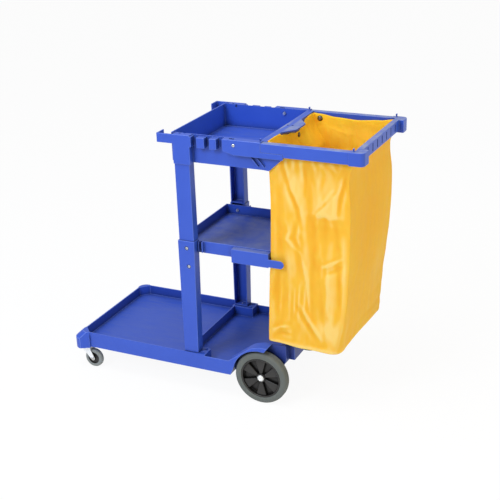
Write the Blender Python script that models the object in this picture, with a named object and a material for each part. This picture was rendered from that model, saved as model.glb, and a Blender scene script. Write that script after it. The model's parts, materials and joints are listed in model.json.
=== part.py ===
# Janitor cart: a moulded base, two posts, a shelf and a tool tray, with a waste bag in a frame at one end.
# Metres, +Z up. X runs from the caster end to the bag end, Y from the near side to the far side.
# Distances along X start at the rim on the caster end. One empty carries the whole cart and centres it.
import math

import bmesh
import bpy
from mathutils import Vector

# Fits and facets
gap = 0.0003                 # clearance between pieces that touch
overrun = 0.012              # how far a cutter passes the face that it opens
mergeDistance = 0.00001
wheelSides = 28
roundSides = 12
boltSides = 12
hexSides = 6

# Whole cart
topHeight = 0.974            # floor to the tool tray's rim
sideFace = 0.2275            # centre plane to the outer face of posts, flanges and bag rails
postInset = 0.388            # rear end of the base to the start of the posts
trayReach = 0.344            # start of the posts to the rear end of the tool tray
bagReach = 0.341             # rear end of the tool tray to the bag frame's corner blocks

# Base
baseLength = 0.838
baseOverhang = 0.0055        # how far the base is wider than the posts on each side
baseWall = 0.004
rimTop = 0.153
rimDepth = 0.061
rearRimDrop = 0.005
baseFloorDrop = 0.038
frontTrayLap = 0.005         # how far the front tray's end wall reaches past the start of the posts
padLead = 0.004
padTail = 0.028
padInset = 0.010
locatingRibLength = 0.022
locatingRibHeight = 0.008
locatingRibInset = 0.010
baseRibThickness = 0.003
baseRibOffset = 0.075
crossRibShares = (0.18, 0.36, 0.70)
cornerBulge = 0.024          # how far a corner bumper stands out past the rim
cornerRadius = 0.030
cornerReach = 0.038          # from the rim's corner to the bumper's seam
cornerStep = 0.0055          # height of the step at the seam
cornerSlope = 0.020          # height over which the bumper draws in to the rim
cornerTopShare = 0.15
cornerSteps = 6
housingLength = 0.056
housingWidth = 0.061
rearLipDepth = 0.023
rearLipHalfWidth = 0.164
rearLipHeight = 0.064
rearLedge = 0.045            # deck to the ledge over the axle's rear side

# Rear wheels and their arches
wheelRadius = 0.100
wheelWidth = 0.036
wheelInset = 0.002           # outer face of the base to the outer face of a wheel
wheelBackGap = 0.0045        # inner face of a wheel to the base's wall
axleInset = 0.084            # rear end of the base to the axle
archGap = 0.008
archLead = 0.010
archStartAngle = math.radians(169)
archEndAngle = math.radians(81)
archSteps = 7
archWall = 0.006
archCover = 0.018            # plastic above the arch's highest point
archCutRun = 0.020
archCutRise = 0.027
humpShares = ((0.0, 0.0), (0.20, 0.24), (0.355, 0.43), (0.59, 0.71), (0.75, 0.87), (1.0, 0.98))
hangerHalfWidth = 0.036
hangerDepth = 0.016          # axle's centre to the underside of what holds it
hangerLead = 0.054
hangerRearRise = 0.014
saddleHalf = 0.016
tyreShoulder = 0.0055
tyreShoulderRise = 0.0015
tyreShoulderInset = 0.0035
tyreTreadHalf = 0.009
tyreWall = 0.0235
rimWall = 0.0062
rimInset = 0.0015
webHalf = 0.002
hubBossWall = 0.0074
bossRecess = 0.0035          # outer face of the wheel to the end of the hub's boss
spokeCount = 6
spokeHalf = 0.012
spokeRootHalf = 0.005
spokeTipHalf = 0.020
spokeBite = 0.0015           # how far a spoke reaches into the boss and the rim
axleRadius = 0.006
bushWall = 0.003
washerWidth = 0.0067
washerThickness = 0.0016
capWall = 0.0057
capRim = 0.002
capDome = 0.0025
capGrip = 0.004
capCrownShare = 0.6

# Casters
stemPlace = 0.016
stemInset = 0.019
casterTrail = 0.022
casterRadius = 0.0375
casterWidth = 0.020
casterTyreWall = 0.0135
casterShoulder = 0.004
casterSides = 20
crownClearance = 0.004
crownThickness = 0.0025
crownFront = 0.018
crownRear = 0.014
legThickness = 0.0025
legClearance = 0.0025        # side of the caster's tyre to a leg
legShoulder = 0.009
legFootRadius = 0.008
legFootStart = math.radians(215)
legFootEnd = math.radians(375)
legSteps = 6
casterBossRadius = 0.008
casterHubInset = 0.0005
kingpinRadius = 0.004
kingpinHeadRadius = 0.007
kingpinHead = 0.0035
stemRadius = 0.0075
stemLength = 0.020
ballRadius = 0.002
ballCount = 6
ballCircle = 0.0115
ballSegments = 6
ballRings = 4
cageHalf = 0.0014
racePlate = 0.002
raceRadius = 0.017
raceSkirt = 0.0018
casterBoltRadius = 0.003
casterBoltHole = 0.0034
casterBoltHead = 0.0065
casterBoltHeadHeight = 0.0032
casterNutHeight = 0.004
casterBoltTail = 0.001

# Posts
postDepth = 0.0375
postFootWidth = 0.056
postTopWidth = 0.064
postWall = 0.004
postWeb = 0.006
sleeveRise = 0.008           # shelf's rim to the top of the lower post
sleeveDepth = 0.110
upperPostWidth = 0.0575
upperPostInset = 0.0035      # outer face of the lower post to that of the upper one
upperPostDrop = 0.104        # tool tray's rim to the shoulder that carries it
tenonDraft = 0.0025
boltOffset = 0.033
boltDrop = 0.020             # shelf's rim to the bolt through post and shelf
lowScrewOffset = 0.038
lowScrewDrop = 0.069         # long bolt to the screw under it
counterboreRadius = 0.008
counterboreDepth = 0.003
bridgeHalf = 0.017
footScrewInset = 0.0215

# Fasteners
screwRadius = 0.003
screwClearance = 0.0004
screwHead = 0.0055
screwHeadHeight = 0.0026
screwHeadRound = 0.0012
nutWall = 0.0028
nutHeight = 0.0045
boltTail = 0.0015

# Middle shelf
shelfTop = 0.582
shelfLead = 0.015            # how far the shelf reaches past the posts
shelfBagGap = 0.004          # end of the tool tray to the end of the shelf
shelfFloorDrop = 0.037
shelfDepth = 0.044
shelfWall = 0.004
shelfRibOffset = 0.001
shelfRibPitch = 0.014
shelfRibCount = 2
shelfRibReach = 0.013
shelfRibDepth = 0.040
shelfArmLength = 0.140
shelfArmReach = 0.024
shelfArmDrop = 0.004
shelfArmDepth = 0.054
tongueReach = 0.057
tongueDrop = 0.023
tongueHeight = 0.028
tongueSteps = 6

# Tool tray. Drops are measured from its rim.
trayLead = 0.014
trayWall = 0.004
trayFloorDrop = 0.084
trayDepth = 0.100
crossbarWidth = 0.024
socketMargin = 0.001
socketFlare = 0.0055
socketDepth = 0.060
socketScrewInset = 0.013
socketScrewDrop = 0.069
tabRootHalf = 0.089
tabTipHalf = 0.038
tabReach = 0.036
tabThickness = 0.006
flangeDepth = 0.040
flangeDeepDepth = 0.052
flangeSlope = 0.040
flangeLead = 0.015
fingerShares = ((0.0, 0.05), (0.22, 0.46), (0.61, 0.82))
fingerDrop = 0.004
jointInset = 0.015
lipReach = 0.064
lipDrop = 0.033
armTongueLength = 0.124
armTongueDrop = 0.012
frameBoltOffset = 0.027
frameBoltDrop = 0.018
slotOffset = 0.020
slotLength = 0.020
slotInset = 0.0105
slotWidth = 0.012
hookLength = 0.061
hookDepth = 0.033
hookReach = 0.0465
hookWall = 0.0045
deckHoleRadius = 0.0025
deckHoleDepth = 0.010
deckHoleOffset = 0.019
deckHoleInset = 0.0205
deckHoleStep = 0.016
deckHoleShift = 0.006
barHoleInset = 0.013
barHoleStep = 0.017
gussetOffset = 0.059
gussetPitch = 0.022
gussetCount = 2
gussetRun = 0.024
gussetWidth = 0.005
gussetDrop = 0.060
gussetHeight = 0.028
gussetDepth = 0.008
wingRoot = 0.020             # end of the tool tray to where a side wing leaves its wall
wingBite = 0.001
wingToe = 0.005
wingTip = 0.005              # how far the wing stops short of the lip's end
wingClearance = 0.0008       # inner face of the bag rails to the wing
wingThickness = 0.003
pegWidth = 0.005
pegStem = 0.004
pegHeight = 0.010
pegSpread = 0.005
pegProng = 0.0025
pegForkShare = 0.4
pegSink = 0.002
trayPegInset = 0.007
trayPegSideInset = 0.0155

# Bag frame. Drops are measured from the tool tray's rim.
railDepth = 0.043
railWidth = 0.024
railWall = 0.004
endRailWidth = 0.020
endRailInset = 0.017
endRailDepth = 0.039
railDrop = 0.002
blockLead = 0.015
blockWidth = 0.0475
blockOverhang = 0.002
blockDepth = 0.046
blockRadius = 0.015
blockSteps = 4
grooveCount = 7
groovePitch = 0.047
grooveWidth = 0.007
grooveDepth = 0.003
grooveMargin = 0.006
framePegOffset = 0.012
framePegInset = 0.0085

# Waste bag. Each table has one share for each row, from the bottom up.
bagWall = 0.0025
bagFloor = 0.004
bagCorner = 0.013
bagCornerSteps = 3
bagBottom = 0.240
bagTopDrop = 0.009
bagSideInset = 0.0032
bagStartLean = 0.0163        # the bottom hangs this far towards the caster end
bagEndLean = 0.0527
bagHeightShares = (0.0, 0.138, 0.345, 0.552, 0.731, 0.897, 0.955, 1.0)
bagStartShares = (1.0, 0.69, 0.33, 0.02, -0.17, 0.0, 0.0, 0.0)
bagEndShares = (1.0, 0.70, 0.43, 0.26, 0.22, 0.30, 0.0, 0.0)
bagSideShares = (1.0, 1.0, 1.0, 1.0, 1.0, 1.0, 0.0, 0.0)
eyeletHole = 0.0045
eyeletInner = 0.0050
eyeletOuter = 0.0100
eyeletThickness = 0.0012
studRadius = 0.0036
studHead = 0.0078
studHeadHeight = 0.0020
studGrip = 0.0055            # length of a stud beyond the face that holds it
frontEyeletOffset = 0.025
rearEyeletSide = 0.120        # centre plane to each eyelet on the end rail
barEyelet = 0.057
eyeletDrop = 0.016
barEyeletDrop = 0.040

# Places along the cart, from the sizes above
postStart = baseLength - postInset
trayEnd = postStart + trayReach
bagEnd = trayEnd + bagReach

# Base, from the sizes above
cartCentre = (bagEnd - cornerBulge) / 2
postInner = sideFace - postDepth
postFootEnd = postStart + postFootWidth
baseHalfWidth = sideFace + baseOverhang
rimBottom = rimTop - rimDepth
rearRimTop = rimTop - rearRimDrop
baseFloorTop = rimTop - baseFloorDrop
frontTrayLength = postStart + frontTrayLap
padStart = postStart - padLead
padEnd = postFootEnd + padTail
padInner = postInner - padInset
axlePlace = baseLength - axleInset
wheelOuterFace = baseHalfWidth - wheelInset
wheelSide = wheelOuterFace - wheelWidth / 2
wellInner = wheelOuterFace - wheelWidth - wheelBackGap
archRadius = wheelRadius + archGap
wellStart = axlePlace - archRadius - archLead
humpTop = wheelRadius + archRadius + archCover
hangerBottom = wheelRadius - hangerDepth
hangerRearBottom = rearRimTop + hangerRearRise
stepFront = axlePlace + saddleHalf - baseWall / 4
stepMiddle = stepFront + baseWall / 2
ledgeUnder = baseFloorTop + rearLedge
axleBore = axleRadius + gap
bushRadius = axleBore + bushWall
hubBore = bushRadius + gap
hubBossRadius = hubBore + hubBossWall
washerInner = wellInner + gap
bossIn = wheelSide - washerInner - washerThickness - gap
bossOut = wheelWidth / 2 - bossRecess
tyreBore = wheelRadius - tyreWall
rimRadius = tyreBore - gap
capRadius = axleBore + capWall

# Casters, from the sizes above
stemSide = baseHalfWidth - stemInset
legGap = casterWidth / 2 + legClearance
crownUnder = 2 * casterRadius + crownClearance
crownTop = crownUnder + crownThickness
raceBottom = crownTop + 2 * gap + 2 * ballRadius
raceTop = raceBottom + racePlate
housingBottom = raceTop + gap
housingInner = baseHalfWidth - housingWidth

# Posts, shelf and tool tray, from the sizes above
postTopEnd = postStart + postTopWidth
sleeveTop = shelfTop + sleeveRise
upperPostStart = postStart + postWall
upperPostEnd = upperPostStart + upperPostWidth
upperPostFace = sideFace - upperPostInset
upperPostTop = topHeight - upperPostDrop
lowerTenonStart = upperPostStart + gap
lowerTenonEnd = postTopEnd - postWall - tenonDraft - gap
lowerTenonFace = sideFace - postWeb - gap
socketStart = upperPostStart - socketMargin
socketEnd = upperPostEnd + socketFlare
upperTenonStart = socketStart + trayWall + gap
upperTenonEnd = upperPostEnd - socketMargin
upperTenonFace = sideFace - trayWall - gap
boltPlace = postStart + boltOffset
boltHeight = shelfTop - boltDrop
lowScrewPlace = postStart + lowScrewOffset
lowScrewHeight = boltHeight - lowScrewDrop
footScrewPlace = postStart + postFootWidth / 2
footScrewSide = sideFace - footScrewInset
screwHole = screwRadius + screwClearance
nutRadius = screwHole + nutWall
shelfHalfWidth = postInner - gap
shelfStart = postStart - shelfLead
shelfEnd = trayEnd - shelfBagGap
shelfFloorTop = shelfTop - shelfFloorDrop
railInner = sideFace - railWidth
traySide = railInner - gap
trayStart = postStart - trayLead
trayFloorTop = topHeight - trayFloorDrop
trayBottom = topHeight - trayDepth
socketScrewSide = sideFace - socketScrewInset
socketScrewHeight = topHeight - socketScrewDrop
jointPlace = trayEnd - jointInset
lipEnd = trayEnd + lipReach
lipTop = topHeight - lipDrop
tongueStart = jointPlace - armTongueLength
flangeStart = tongueStart - flangeLead
wingInner = railInner + wingClearance
wingOuter = wingInner + wingThickness
wingTop = lipTop - trayWall / 2
flangeBottom = topHeight - flangeDepth
flangeDeepBottom = topHeight - flangeDeepDepth
frameBoltPlace = tongueStart + frameBoltOffset
frameBoltHeight = topHeight - frameBoltDrop

# Bag frame and bag, from the sizes above
endRailEnd = bagEnd - endRailInset
endRailStart = endRailEnd - endRailWidth
blockStart = endRailStart - blockLead
blockOuter = sideFace + blockOverhang
blockInner = blockOuter - blockWidth
railBottom = topHeight - railDepth
endRailBottom = topHeight - endRailDepth
bagTop = topHeight - bagTopDrop
frontEyelet = trayEnd + frontEyeletOffset
eyeletHeight = bagTop - eyeletDrop
sides = (("near", -1), ("far", 1))

# Studs that carry the bag: the point on the face that holds each, and the direction into the bag
hangers = {"tray": ((trayEnd, barEyelet, bagTop - barEyeletDrop), (1, 0, 0))}
for sideName, sideSign in sides:
    hangers["front_" + sideName] = ((frontEyelet, sideSign * railInner, eyeletHeight), (0, -sideSign, 0))
    hangers["rear_" + sideName] = ((endRailStart, sideSign * rearEyeletSide, eyeletHeight), (-1, 0, 0))

# Finishes: linear colour, roughness, metallic
finishes = {"blue": ((0.050, 0.105, 0.560), 0.42, 0), "yellow": ((0.900, 0.420, 0.030), 0.45, 0),
            "tyre": ((0.230, 0.250, 0.230), 0.70, 0), "black": ((0.018, 0.018, 0.017), 0.45, 0),
            "steel": ((0.600, 0.600, 0.600), 0.25, 1), "zinc": ((0.660, 0.680, 0.690), 0.35, 1),
            "nylon": ((0.700, 0.690, 0.640), 0.50, 0), "dark": ((0.060, 0.055, 0.060), 0.40, 1)}


# Helpers for solids
def addObject(name, form):
    mesh = bpy.data.meshes.new(name)
    form.to_mesh(mesh)
    form.free()
    thing = bpy.data.objects.new(name, mesh)
    bpy.context.collection.objects.link(thing)
    return thing


def prism(name, outline, axis, start, end):
    # An outline pushed along an axis. Its points are (X, Z) for axis Y, (Y, Z) for X and (X, Y) for Z.
    places = {"X": lambda a, b, c: (c, a, b), "Y": lambda a, b, c: (a, c, b), "Z": lambda a, b, c: (a, b, c)}
    place = places[axis]
    low, high = sorted((start, end))
    form = bmesh.new()
    face = form.faces.new([form.verts.new(place(a, b, low)) for a, b in outline])
    grown = bmesh.ops.extrude_face_region(form, geom=[face])["geom"]
    moved = [item for item in grown if isinstance(item, bmesh.types.BMVert)]
    bmesh.ops.translate(form, verts=moved, vec=Vector(place(0, 0, high - low)))
    bmesh.ops.recalc_face_normals(form, faces=form.faces)
    return addObject(name, form)


def loft(name, rings):
    # Skin over rings of equal count, with a flat cap on the first and on the last.
    form = bmesh.new()
    loops = [[form.verts.new(point) for point in points] for points in rings]
    for lower, upper in zip(loops, loops[1:]):
        for index in range(len(lower)):
            after = (index + 1) % len(lower)
            form.faces.new((lower[index], lower[after], upper[after], upper[index]))
    form.faces.new(loops[0])
    form.faces.new(loops[-1])
    bmesh.ops.recalc_face_normals(form, faces=form.faces)
    return addObject(name, form)


def block(name, along, across, up):
    outline = [(along[0], across[0]), (along[1], across[0]), (along[1], across[1]), (along[0], across[1])]
    return prism(name, outline, "Z", up[0], up[1])


def turned(name, profile, count):
    # A profile of (radius, height) points spun about Z. It is a ring unless its ends lie on the axis.
    form = bmesh.new()
    points = [form.verts.new((radius, 0, height)) for radius, height in profile]
    pairs = list(zip(points, points[1:]))
    if profile[0][0] > 0:
        pairs.append((points[-1], points[0]))
    edges = [form.edges.new(pair) for pair in pairs]
    bmesh.ops.spin(form, geom=points + edges, cent=(0, 0, 0), axis=(0, 0, 1), dvec=(0, 0, 0),
                   angle=2 * math.pi, steps=count, use_merge=True)
    bmesh.ops.remove_doubles(form, verts=form.verts, dist=mergeDistance)
    bmesh.ops.recalc_face_normals(form, faces=form.faces)
    thing = addObject(name, form)
    thing.data.shade_smooth()
    thing.data.set_sharp_from_angle(angle=math.radians(35))
    return thing


def rod(name, radius, start, end, count=boltSides):
    return turned(name, [(0, start), (radius, start), (radius, end), (0, end)], count)


def ring(name, inner, outer, low, high, count):
    return turned(name, [(inner, low), (outer, low), (outer, high), (inner, high)], count)


def faceAlong(thing, direction, location):
    # Turns a piece so that its own Z points along a direction, and moves it there.
    thing.rotation_euler = Vector(direction).to_track_quat("Z", "Y").to_euler()
    thing.location = location
    return thing


def booleans(body, others, operation):
    for other in others:
        modifier = body.modifiers.new("boolean", "BOOLEAN")
        modifier.operation = operation
        modifier.solver = "EXACT"
        modifier.object = other
    graph = bpy.context.evaluated_depsgraph_get()
    mesh = bpy.data.meshes.new_from_object(body.evaluated_get(graph))
    body.modifiers.clear()
    body.data = mesh
    for other in others:
        bpy.data.objects.remove(other)
    return body


def joined(body, *others):
    return booleans(body, others, "UNION")


def carved(body, *cutters):
    return booleans(body, cutters, "DIFFERENCE")


def span(side, inner, outer):
    return tuple(sorted((side * inner, side * outer)))


def arc(centre, radius, start, end, steps):
    turns = [start + (end - start) * step / steps for step in range(steps + 1)]
    return [(centre[0] + radius * math.cos(turn), centre[1] + radius * math.sin(turn)) for turn in turns]


def material(name, colour, roughness, metallic):
    paint = bpy.data.materials.new(name)
    paint.use_nodes = True
    shader = paint.node_tree.nodes["Principled BSDF"]
    shader.inputs["Base Color"].default_value = (*colour, 1)
    shader.inputs["Roughness"].default_value = roughness
    shader.inputs["Metallic"].default_value = metallic
    return paint


def finished(thing, name, paint, parent, location=None):
    thing.name = name
    thing.data.name = name
    thing.data.materials.clear()
    thing.data.materials.append(paint)
    thing.parent = parent
    if location:
        thing.location = location
    return thing


# Base
def cornerRing(side, share, level):
    # Plan of a front corner: the bumper's round face, cut off inside by a diagonal.
    bulge = cornerBulge * share
    step = cornerStep * share
    inset = baseWall / 2
    centre = (cornerRadius - bulge, baseHalfWidth + bulge - cornerRadius)
    points = [(cornerReach, baseHalfWidth + step)]
    points += arc(centre, cornerRadius, math.pi / 2, math.pi, cornerSteps)
    points += [(-step, baseHalfWidth - cornerReach), (inset, baseHalfWidth - cornerReach),
               (cornerReach, baseHalfWidth - inset)]
    return [(x, side * y, level) for x, y in points]


def cornerBumper(side):
    rings = [cornerRing(side, 1, housingBottom), cornerRing(side, 1, rimTop - cornerSlope),
             cornerRing(side, cornerTopShare, rimTop)]
    return loft("bumper", rings)


def wheelHump(side):
    start = wellStart - archWall
    points = []
    for along, rise in humpShares:
        points.append((start + along * (axlePlace - start), rearRimTop + rise * (humpTop - rearRimTop)))
    points += [(baseLength, humpTop), (baseLength, hangerRearBottom),
               (axlePlace + hangerHalfWidth, hangerBottom), (axlePlace - hangerHalfWidth, hangerBottom),
               (axlePlace - hangerLead, rimBottom), (start, rimBottom)]
    return prism("hump", points, "Y", side * (wellInner - baseWall), side * baseHalfWidth)


def wheelWell(side):
    arch = arc((axlePlace, wheelRadius), archRadius, archStartAngle, archEndAngle, archSteps)
    cutEnd = arch[-1][0] + archCutRun
    ceiling = humpTop + overrun
    points = [(wellStart, hangerBottom - overrun), (wellStart, rimBottom)] + arch
    points += [(cutEnd, arch[-1][1] + archCutRise), (cutEnd, ceiling), (baseLength + overrun, ceiling),
               (baseLength + overrun, hangerBottom - overrun)]
    return prism("well", points, "Y", side * wellInner, side * (baseHalfWidth + overrun))


def makeBase():
    inside = baseHalfWidth - baseWall
    outside = baseHalfWidth + overrun
    rearEnd = baseLength - baseWall
    floorUnder = baseFloorTop - baseWall
    corner = arc((cornerRadius, baseHalfWidth - cornerRadius), cornerRadius, math.pi / 2, math.pi, cornerSteps)
    outline = [(baseLength, -baseHalfWidth), (baseLength, baseHalfWidth)] + corner
    outline += [(x, -y) for x, y in reversed(corner)]
    body = prism("base", outline, "Z", rimBottom, rimTop)
    front = block("tray", (baseWall, frontTrayLength - baseWall), (-inside, inside),
                  (baseFloorTop, rimTop + overrun))
    rear = block("deck", (frontTrayLength, rearEnd), (-inside, inside), (baseFloorTop, rimTop + overrun))
    under = block("underside", (baseWall, rearEnd), (-inside, inside), (rimBottom - overrun, floorUnder))
    lower = block("rim", (frontTrayLength, baseLength + overrun), (-outside, outside),
                  (rearRimTop, rimTop + overrun))
    behind = block("rear end", (stepMiddle, baseLength + overrun), (-outside, outside),
                   (rimBottom - overrun, rimTop + overrun))
    body = carved(body, front, rear, under, lower, behind)

    ledgeSide = wellInner - baseWall / 2
    ledgeTop = ledgeUnder + baseWall
    added = [block("rear wall", (rearEnd, baseLength), (-wellInner, wellInner), (ledgeUnder, humpTop)),
             block("ledge", (stepFront, baseLength - baseWall / 2), (-ledgeSide, ledgeSide),
                   (ledgeUnder, ledgeTop)),
             block("step", (stepFront, stepFront + baseWall), (-ledgeSide, ledgeSide),
                   (rimBottom, ledgeUnder + baseWall / 2))]
    lip = block("lip", (rearEnd, baseLength + rearLipDepth), (-rearLipHalfWidth, rearLipHalfWidth),
                (humpTop - rearLipHeight, humpTop))
    lipInside = rearLipHalfWidth - baseWall
    hollow = block("hollow", (baseLength, baseLength + rearLipDepth - baseWall), (-lipInside, lipInside),
                   (humpTop - rearLipHeight - overrun, humpTop - baseWall))
    added.append(carved(lip, hollow))
    for share in crossRibShares:
        place = share * baseLength
        added.append(block("rib", (place, place + baseRibThickness), (-inside, inside),
                           (rimBottom, baseFloorTop)))
    for name, side in sides:
        added.append(cornerBumper(side))
        added.append(wheelHump(side))
        added.append(block("housing", (baseWall / 2, housingLength), span(side, housingInner, inside),
                           (housingBottom, baseFloorTop)))
        added.append(block("pad", (padStart, padEnd), span(side, padInner, baseHalfWidth),
                           (floorUnder, rimTop)))
        added.append(block("rib", (baseWall / 2, stepMiddle),
                           span(side, baseRibOffset, baseRibOffset + baseRibThickness),
                           (rimBottom, baseFloorTop)))
        added.append(block("saddle", (axlePlace - saddleHalf, axlePlace + saddleHalf),
                           span(side, baseRibOffset - baseRibThickness, baseRibOffset + 2 * baseRibThickness),
                           (hangerBottom, baseFloorTop)))
        ribStart = postFootEnd + gap
        ribSide = sideFace - locatingRibInset
        ribEnd = ribStart + locatingRibLength
        for place in (ribSide, padInner + locatingRibInset):
            points = [(ribStart, rimTop - baseWall / 2), (ribStart, rimTop),
                      (ribEnd, rimTop + locatingRibHeight), (ribEnd, rimTop - baseWall / 2)]
            added.append(prism("locator", points, "Y", side * place, side * (place + baseRibThickness)))
    body = joined(body, *added)

    cutters = []
    bore = rod("bore", axleBore, -baseHalfWidth, baseHalfWidth, roundSides)
    cutters.append(faceAlong(bore, (0, 1, 0), (axlePlace, 0, wheelRadius)))
    for name, side in sides:
        cutters.append(wheelWell(side))
        cutters.append(block("pad inside", (padStart + baseWall, padEnd - baseWall),
                             span(side, padInner + baseWall, inside), (rimBottom - overrun, rimTop - baseWall)))
        stem = rod("stem", stemRadius + gap, housingBottom - overrun, housingBottom + stemLength + gap,
                   roundSides)
        stem.location = (stemPlace, side * stemSide, 0)
        cutters.append(stem)
        hole = rod("hole", screwHole, rimTop - 2 * baseWall, rimTop + overrun)
        hole.location = (footScrewPlace, side * footScrewSide, 0)
        cutters.append(hole)
    return carved(body, *cutters)


# Posts
def makeLowerPost(side):
    foot = rimTop + gap
    outline = [(postStart, foot), (postFootEnd, foot), (postTopEnd, sleeveTop), (postStart, sleeveTop)]
    body = prism("post", outline, "Y", side * postInner, side * sideFace)
    inner = [(postStart + postWall, foot + postWall), (postFootEnd - postWall, foot + postWall),
             (postTopEnd - postWall, sleeveTop), (postTopEnd - postWall, sleeveTop + overrun),
             (postStart + postWall, sleeveTop + overrun)]
    cutters = [prism("channel", inner, "Y", side * (postInner - overrun), side * (sideFace - postWeb))]
    for place, height in ((boltPlace, boltHeight), (lowScrewPlace, lowScrewHeight)):
        hole = rod("hole", screwHole, sideFace - postWeb - overrun, sideFace + overrun)
        sink = rod("sink", counterboreRadius, sideFace - counterboreDepth, sideFace + overrun, roundSides)
        cutters += [faceAlong(cutter, (0, side, 0), (place, 0, height)) for cutter in (hole, sink)]
    hole = rod("hole", screwHole, foot - overrun, foot + postWall + overrun)
    hole.location = (footScrewPlace, side * footScrewSide, 0)
    cutters.append(hole)
    return carved(body, *cutters)


def makeUpperPost(side):
    # Three lengths of channel with a web at each shoulder: a tenon in the lower post, the post that shows and a
    # tenon in the tray's socket.
    half = postWall / 2
    shoulder = sleeveTop + gap
    foot = sleeveTop - sleeveDepth
    crown = upperPostTop + socketDepth
    lengths = ((lowerTenonStart, lowerTenonEnd, postInner, lowerTenonFace, foot, shoulder + half),
               (upperPostStart, upperPostEnd, postInner, upperPostFace, shoulder, upperPostTop),
               (upperTenonStart, upperTenonEnd, traySide + gap, upperTenonFace, upperPostTop - half, crown))
    hollows = ((foot - overrun, shoulder - half), (shoulder + half, upperPostTop - half),
               (upperPostTop + half, crown + overrun))
    outers = []
    cutters = []
    for (start, end, inner, face, low, high), hollow in zip(lengths, hollows):
        outers.append(block("length", (start, end), span(side, inner, face), (low, high)))
        cutters.append(block("channel", (start + postWall, end - postWall),
                             span(side, inner - overrun, face - postWall), hollow))
    body = carved(joined(*outers), *cutters)
    bridge = block("bridge", (lowerTenonStart + half, lowerTenonEnd - half),
                   span(side, postInner, postInner + postWall),
                   (boltHeight - bridgeHalf, boltHeight + bridgeHalf))
    body = joined(body, bridge)
    holes = []
    for place, height in ((boltPlace, boltHeight), (lowScrewPlace, lowScrewHeight)):
        hole = rod("hole", screwHole, postInner - overrun, sideFace)
        holes.append(faceAlong(hole, (0, side, 0), (place, 0, height)))
    hole = rod("hole", screwHole, socketStart, socketStart + trayWall + gap + 2 * postWall)
    holes.append(faceAlong(hole, (1, 0, 0), (0, side * socketScrewSide, socketScrewHeight)))
    return carved(body, *holes)


# Middle shelf
def shelfArm(side):
    start = shelfEnd - shelfArmLength
    outer = shelfHalfWidth + shelfArmReach
    inner = shelfHalfWidth - shelfWall / 2
    top = shelfTop - shelfArmDrop
    up = (shelfTop - shelfArmDepth, top)
    plate = block("plate", (start, shelfEnd), span(side, outer - shelfWall, outer), up)
    cover = block("cover", (start, shelfEnd), span(side, inner, outer), (top - shelfWall, top))
    ends = [block("end", (place, place + shelfWall), span(side, inner, outer), up)
            for place in (start, shelfEnd - shelfWall)]
    radius = tongueHeight / 2
    middle = shelfTop - tongueDrop - radius
    tip = arc((shelfEnd + tongueReach - radius, middle), radius, -math.pi / 2, math.pi / 2, tongueSteps)
    root = shelfEnd - shelfWall
    outline = [(root, middle - radius)] + tip + [(root, middle + radius)]
    tongue = prism("tongue", outline, "Y", side * (outer - shelfWall), side * outer)
    return joined(plate, cover, tongue, *ends)


def makeShelf():
    inside = shelfHalfWidth - shelfWall
    bottom = shelfTop - shelfDepth
    body = block("shelf", (shelfStart, shelfEnd), (-shelfHalfWidth, shelfHalfWidth), (bottom, shelfTop))
    inner = (shelfStart + shelfWall, shelfEnd - shelfWall)
    upper = block("inside", inner, (-inside, inside), (shelfFloorTop, shelfTop + overrun))
    lower = block("underside", inner, (-inside, inside), (bottom - overrun, shelfFloorTop - shelfWall))
    body = carved(body, upper, lower)
    added = []
    holes = []
    for name, side in sides:
        added.append(shelfArm(side))
        for index in range(shelfRibCount):
            place = postTopEnd + shelfRibOffset + index * shelfRibPitch
            added.append(block("rib", (place, place + shelfWall),
                               span(side, shelfHalfWidth - shelfWall / 2, shelfHalfWidth + shelfRibReach),
                               (shelfTop - shelfRibDepth, shelfTop)))
        hole = rod("hole", screwHole, inside - overrun, shelfHalfWidth + overrun)
        holes.append(faceAlong(hole, (0, side, 0), (boltPlace, 0, boltHeight)))
    return carved(joined(body, *added), *holes)


# Tool tray
def peg(side, place, across):
    fork = pegHeight * pegForkShare
    shape = [(-pegStem / 2, -pegSink), (pegStem / 2, -pegSink), (pegStem / 2, fork), (pegSpread, pegHeight),
             (pegSpread - pegProng, pegHeight), (0, fork + pegProng), (pegProng - pegSpread, pegHeight),
             (-pegSpread, pegHeight), (-pegStem / 2, fork)]
    outline = [(side * across + y, topHeight + z) for y, z in shape]
    return prism("peg", outline, "X", place, place + pegWidth)


def trayFlange(side):
    # The side channel that holds the bag frame's arm, and the lip that runs on under it.
    inner = traySide - trayWall / 2
    outline = [(flangeStart, topHeight), (flangeStart, flangeBottom),
               (flangeStart + flangeSlope, flangeDeepBottom), (lipEnd, flangeDeepBottom), (lipEnd, lipTop),
               (jointPlace, lipTop), (jointPlace, topHeight)]
    outer = prism("outer", outline, "Y", side * (sideFace - trayWall), side * sideFace)
    cover = block("cover", (flangeStart, jointPlace), span(side, inner, sideFace),
                  (topHeight - trayWall, topHeight))
    end = block("end", (flangeStart, flangeStart + trayWall), span(side, inner, sideFace),
                (flangeBottom, topHeight))
    lip = block("lip", (jointPlace, lipEnd), span(side, railInner, sideFace), (lipTop - trayWall, lipTop))
    return [outer, cover, end, lip]


def trayWing(side):
    # The tray's side wall runs on past its end, outside the bag, and is cut off at a slant under the lip.
    root = traySide - trayWall / 2
    start = trayEnd - wingRoot
    turn = trayEnd - wingBite
    plan = [(start, side * root), (turn, side * root), (turn, side * wingInner), (lipEnd, side * wingInner),
            (lipEnd, side * wingOuter), (trayEnd, side * wingOuter), (start, side * traySide)]
    wing = prism("wing", plan, "Z", trayBottom, wingTop)
    slant = [(trayEnd + wingToe, trayBottom - overrun), (lipEnd + overrun, trayBottom - overrun),
             (lipEnd + overrun, wingTop + overrun), (lipEnd - wingTip, wingTop + overrun),
             (lipEnd - wingTip, flangeDeepBottom), (trayEnd + wingToe, trayBottom)]
    return carved(wing, prism("slant", slant, "Y", side * (root - overrun), side * (wingOuter + overrun)))


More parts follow.
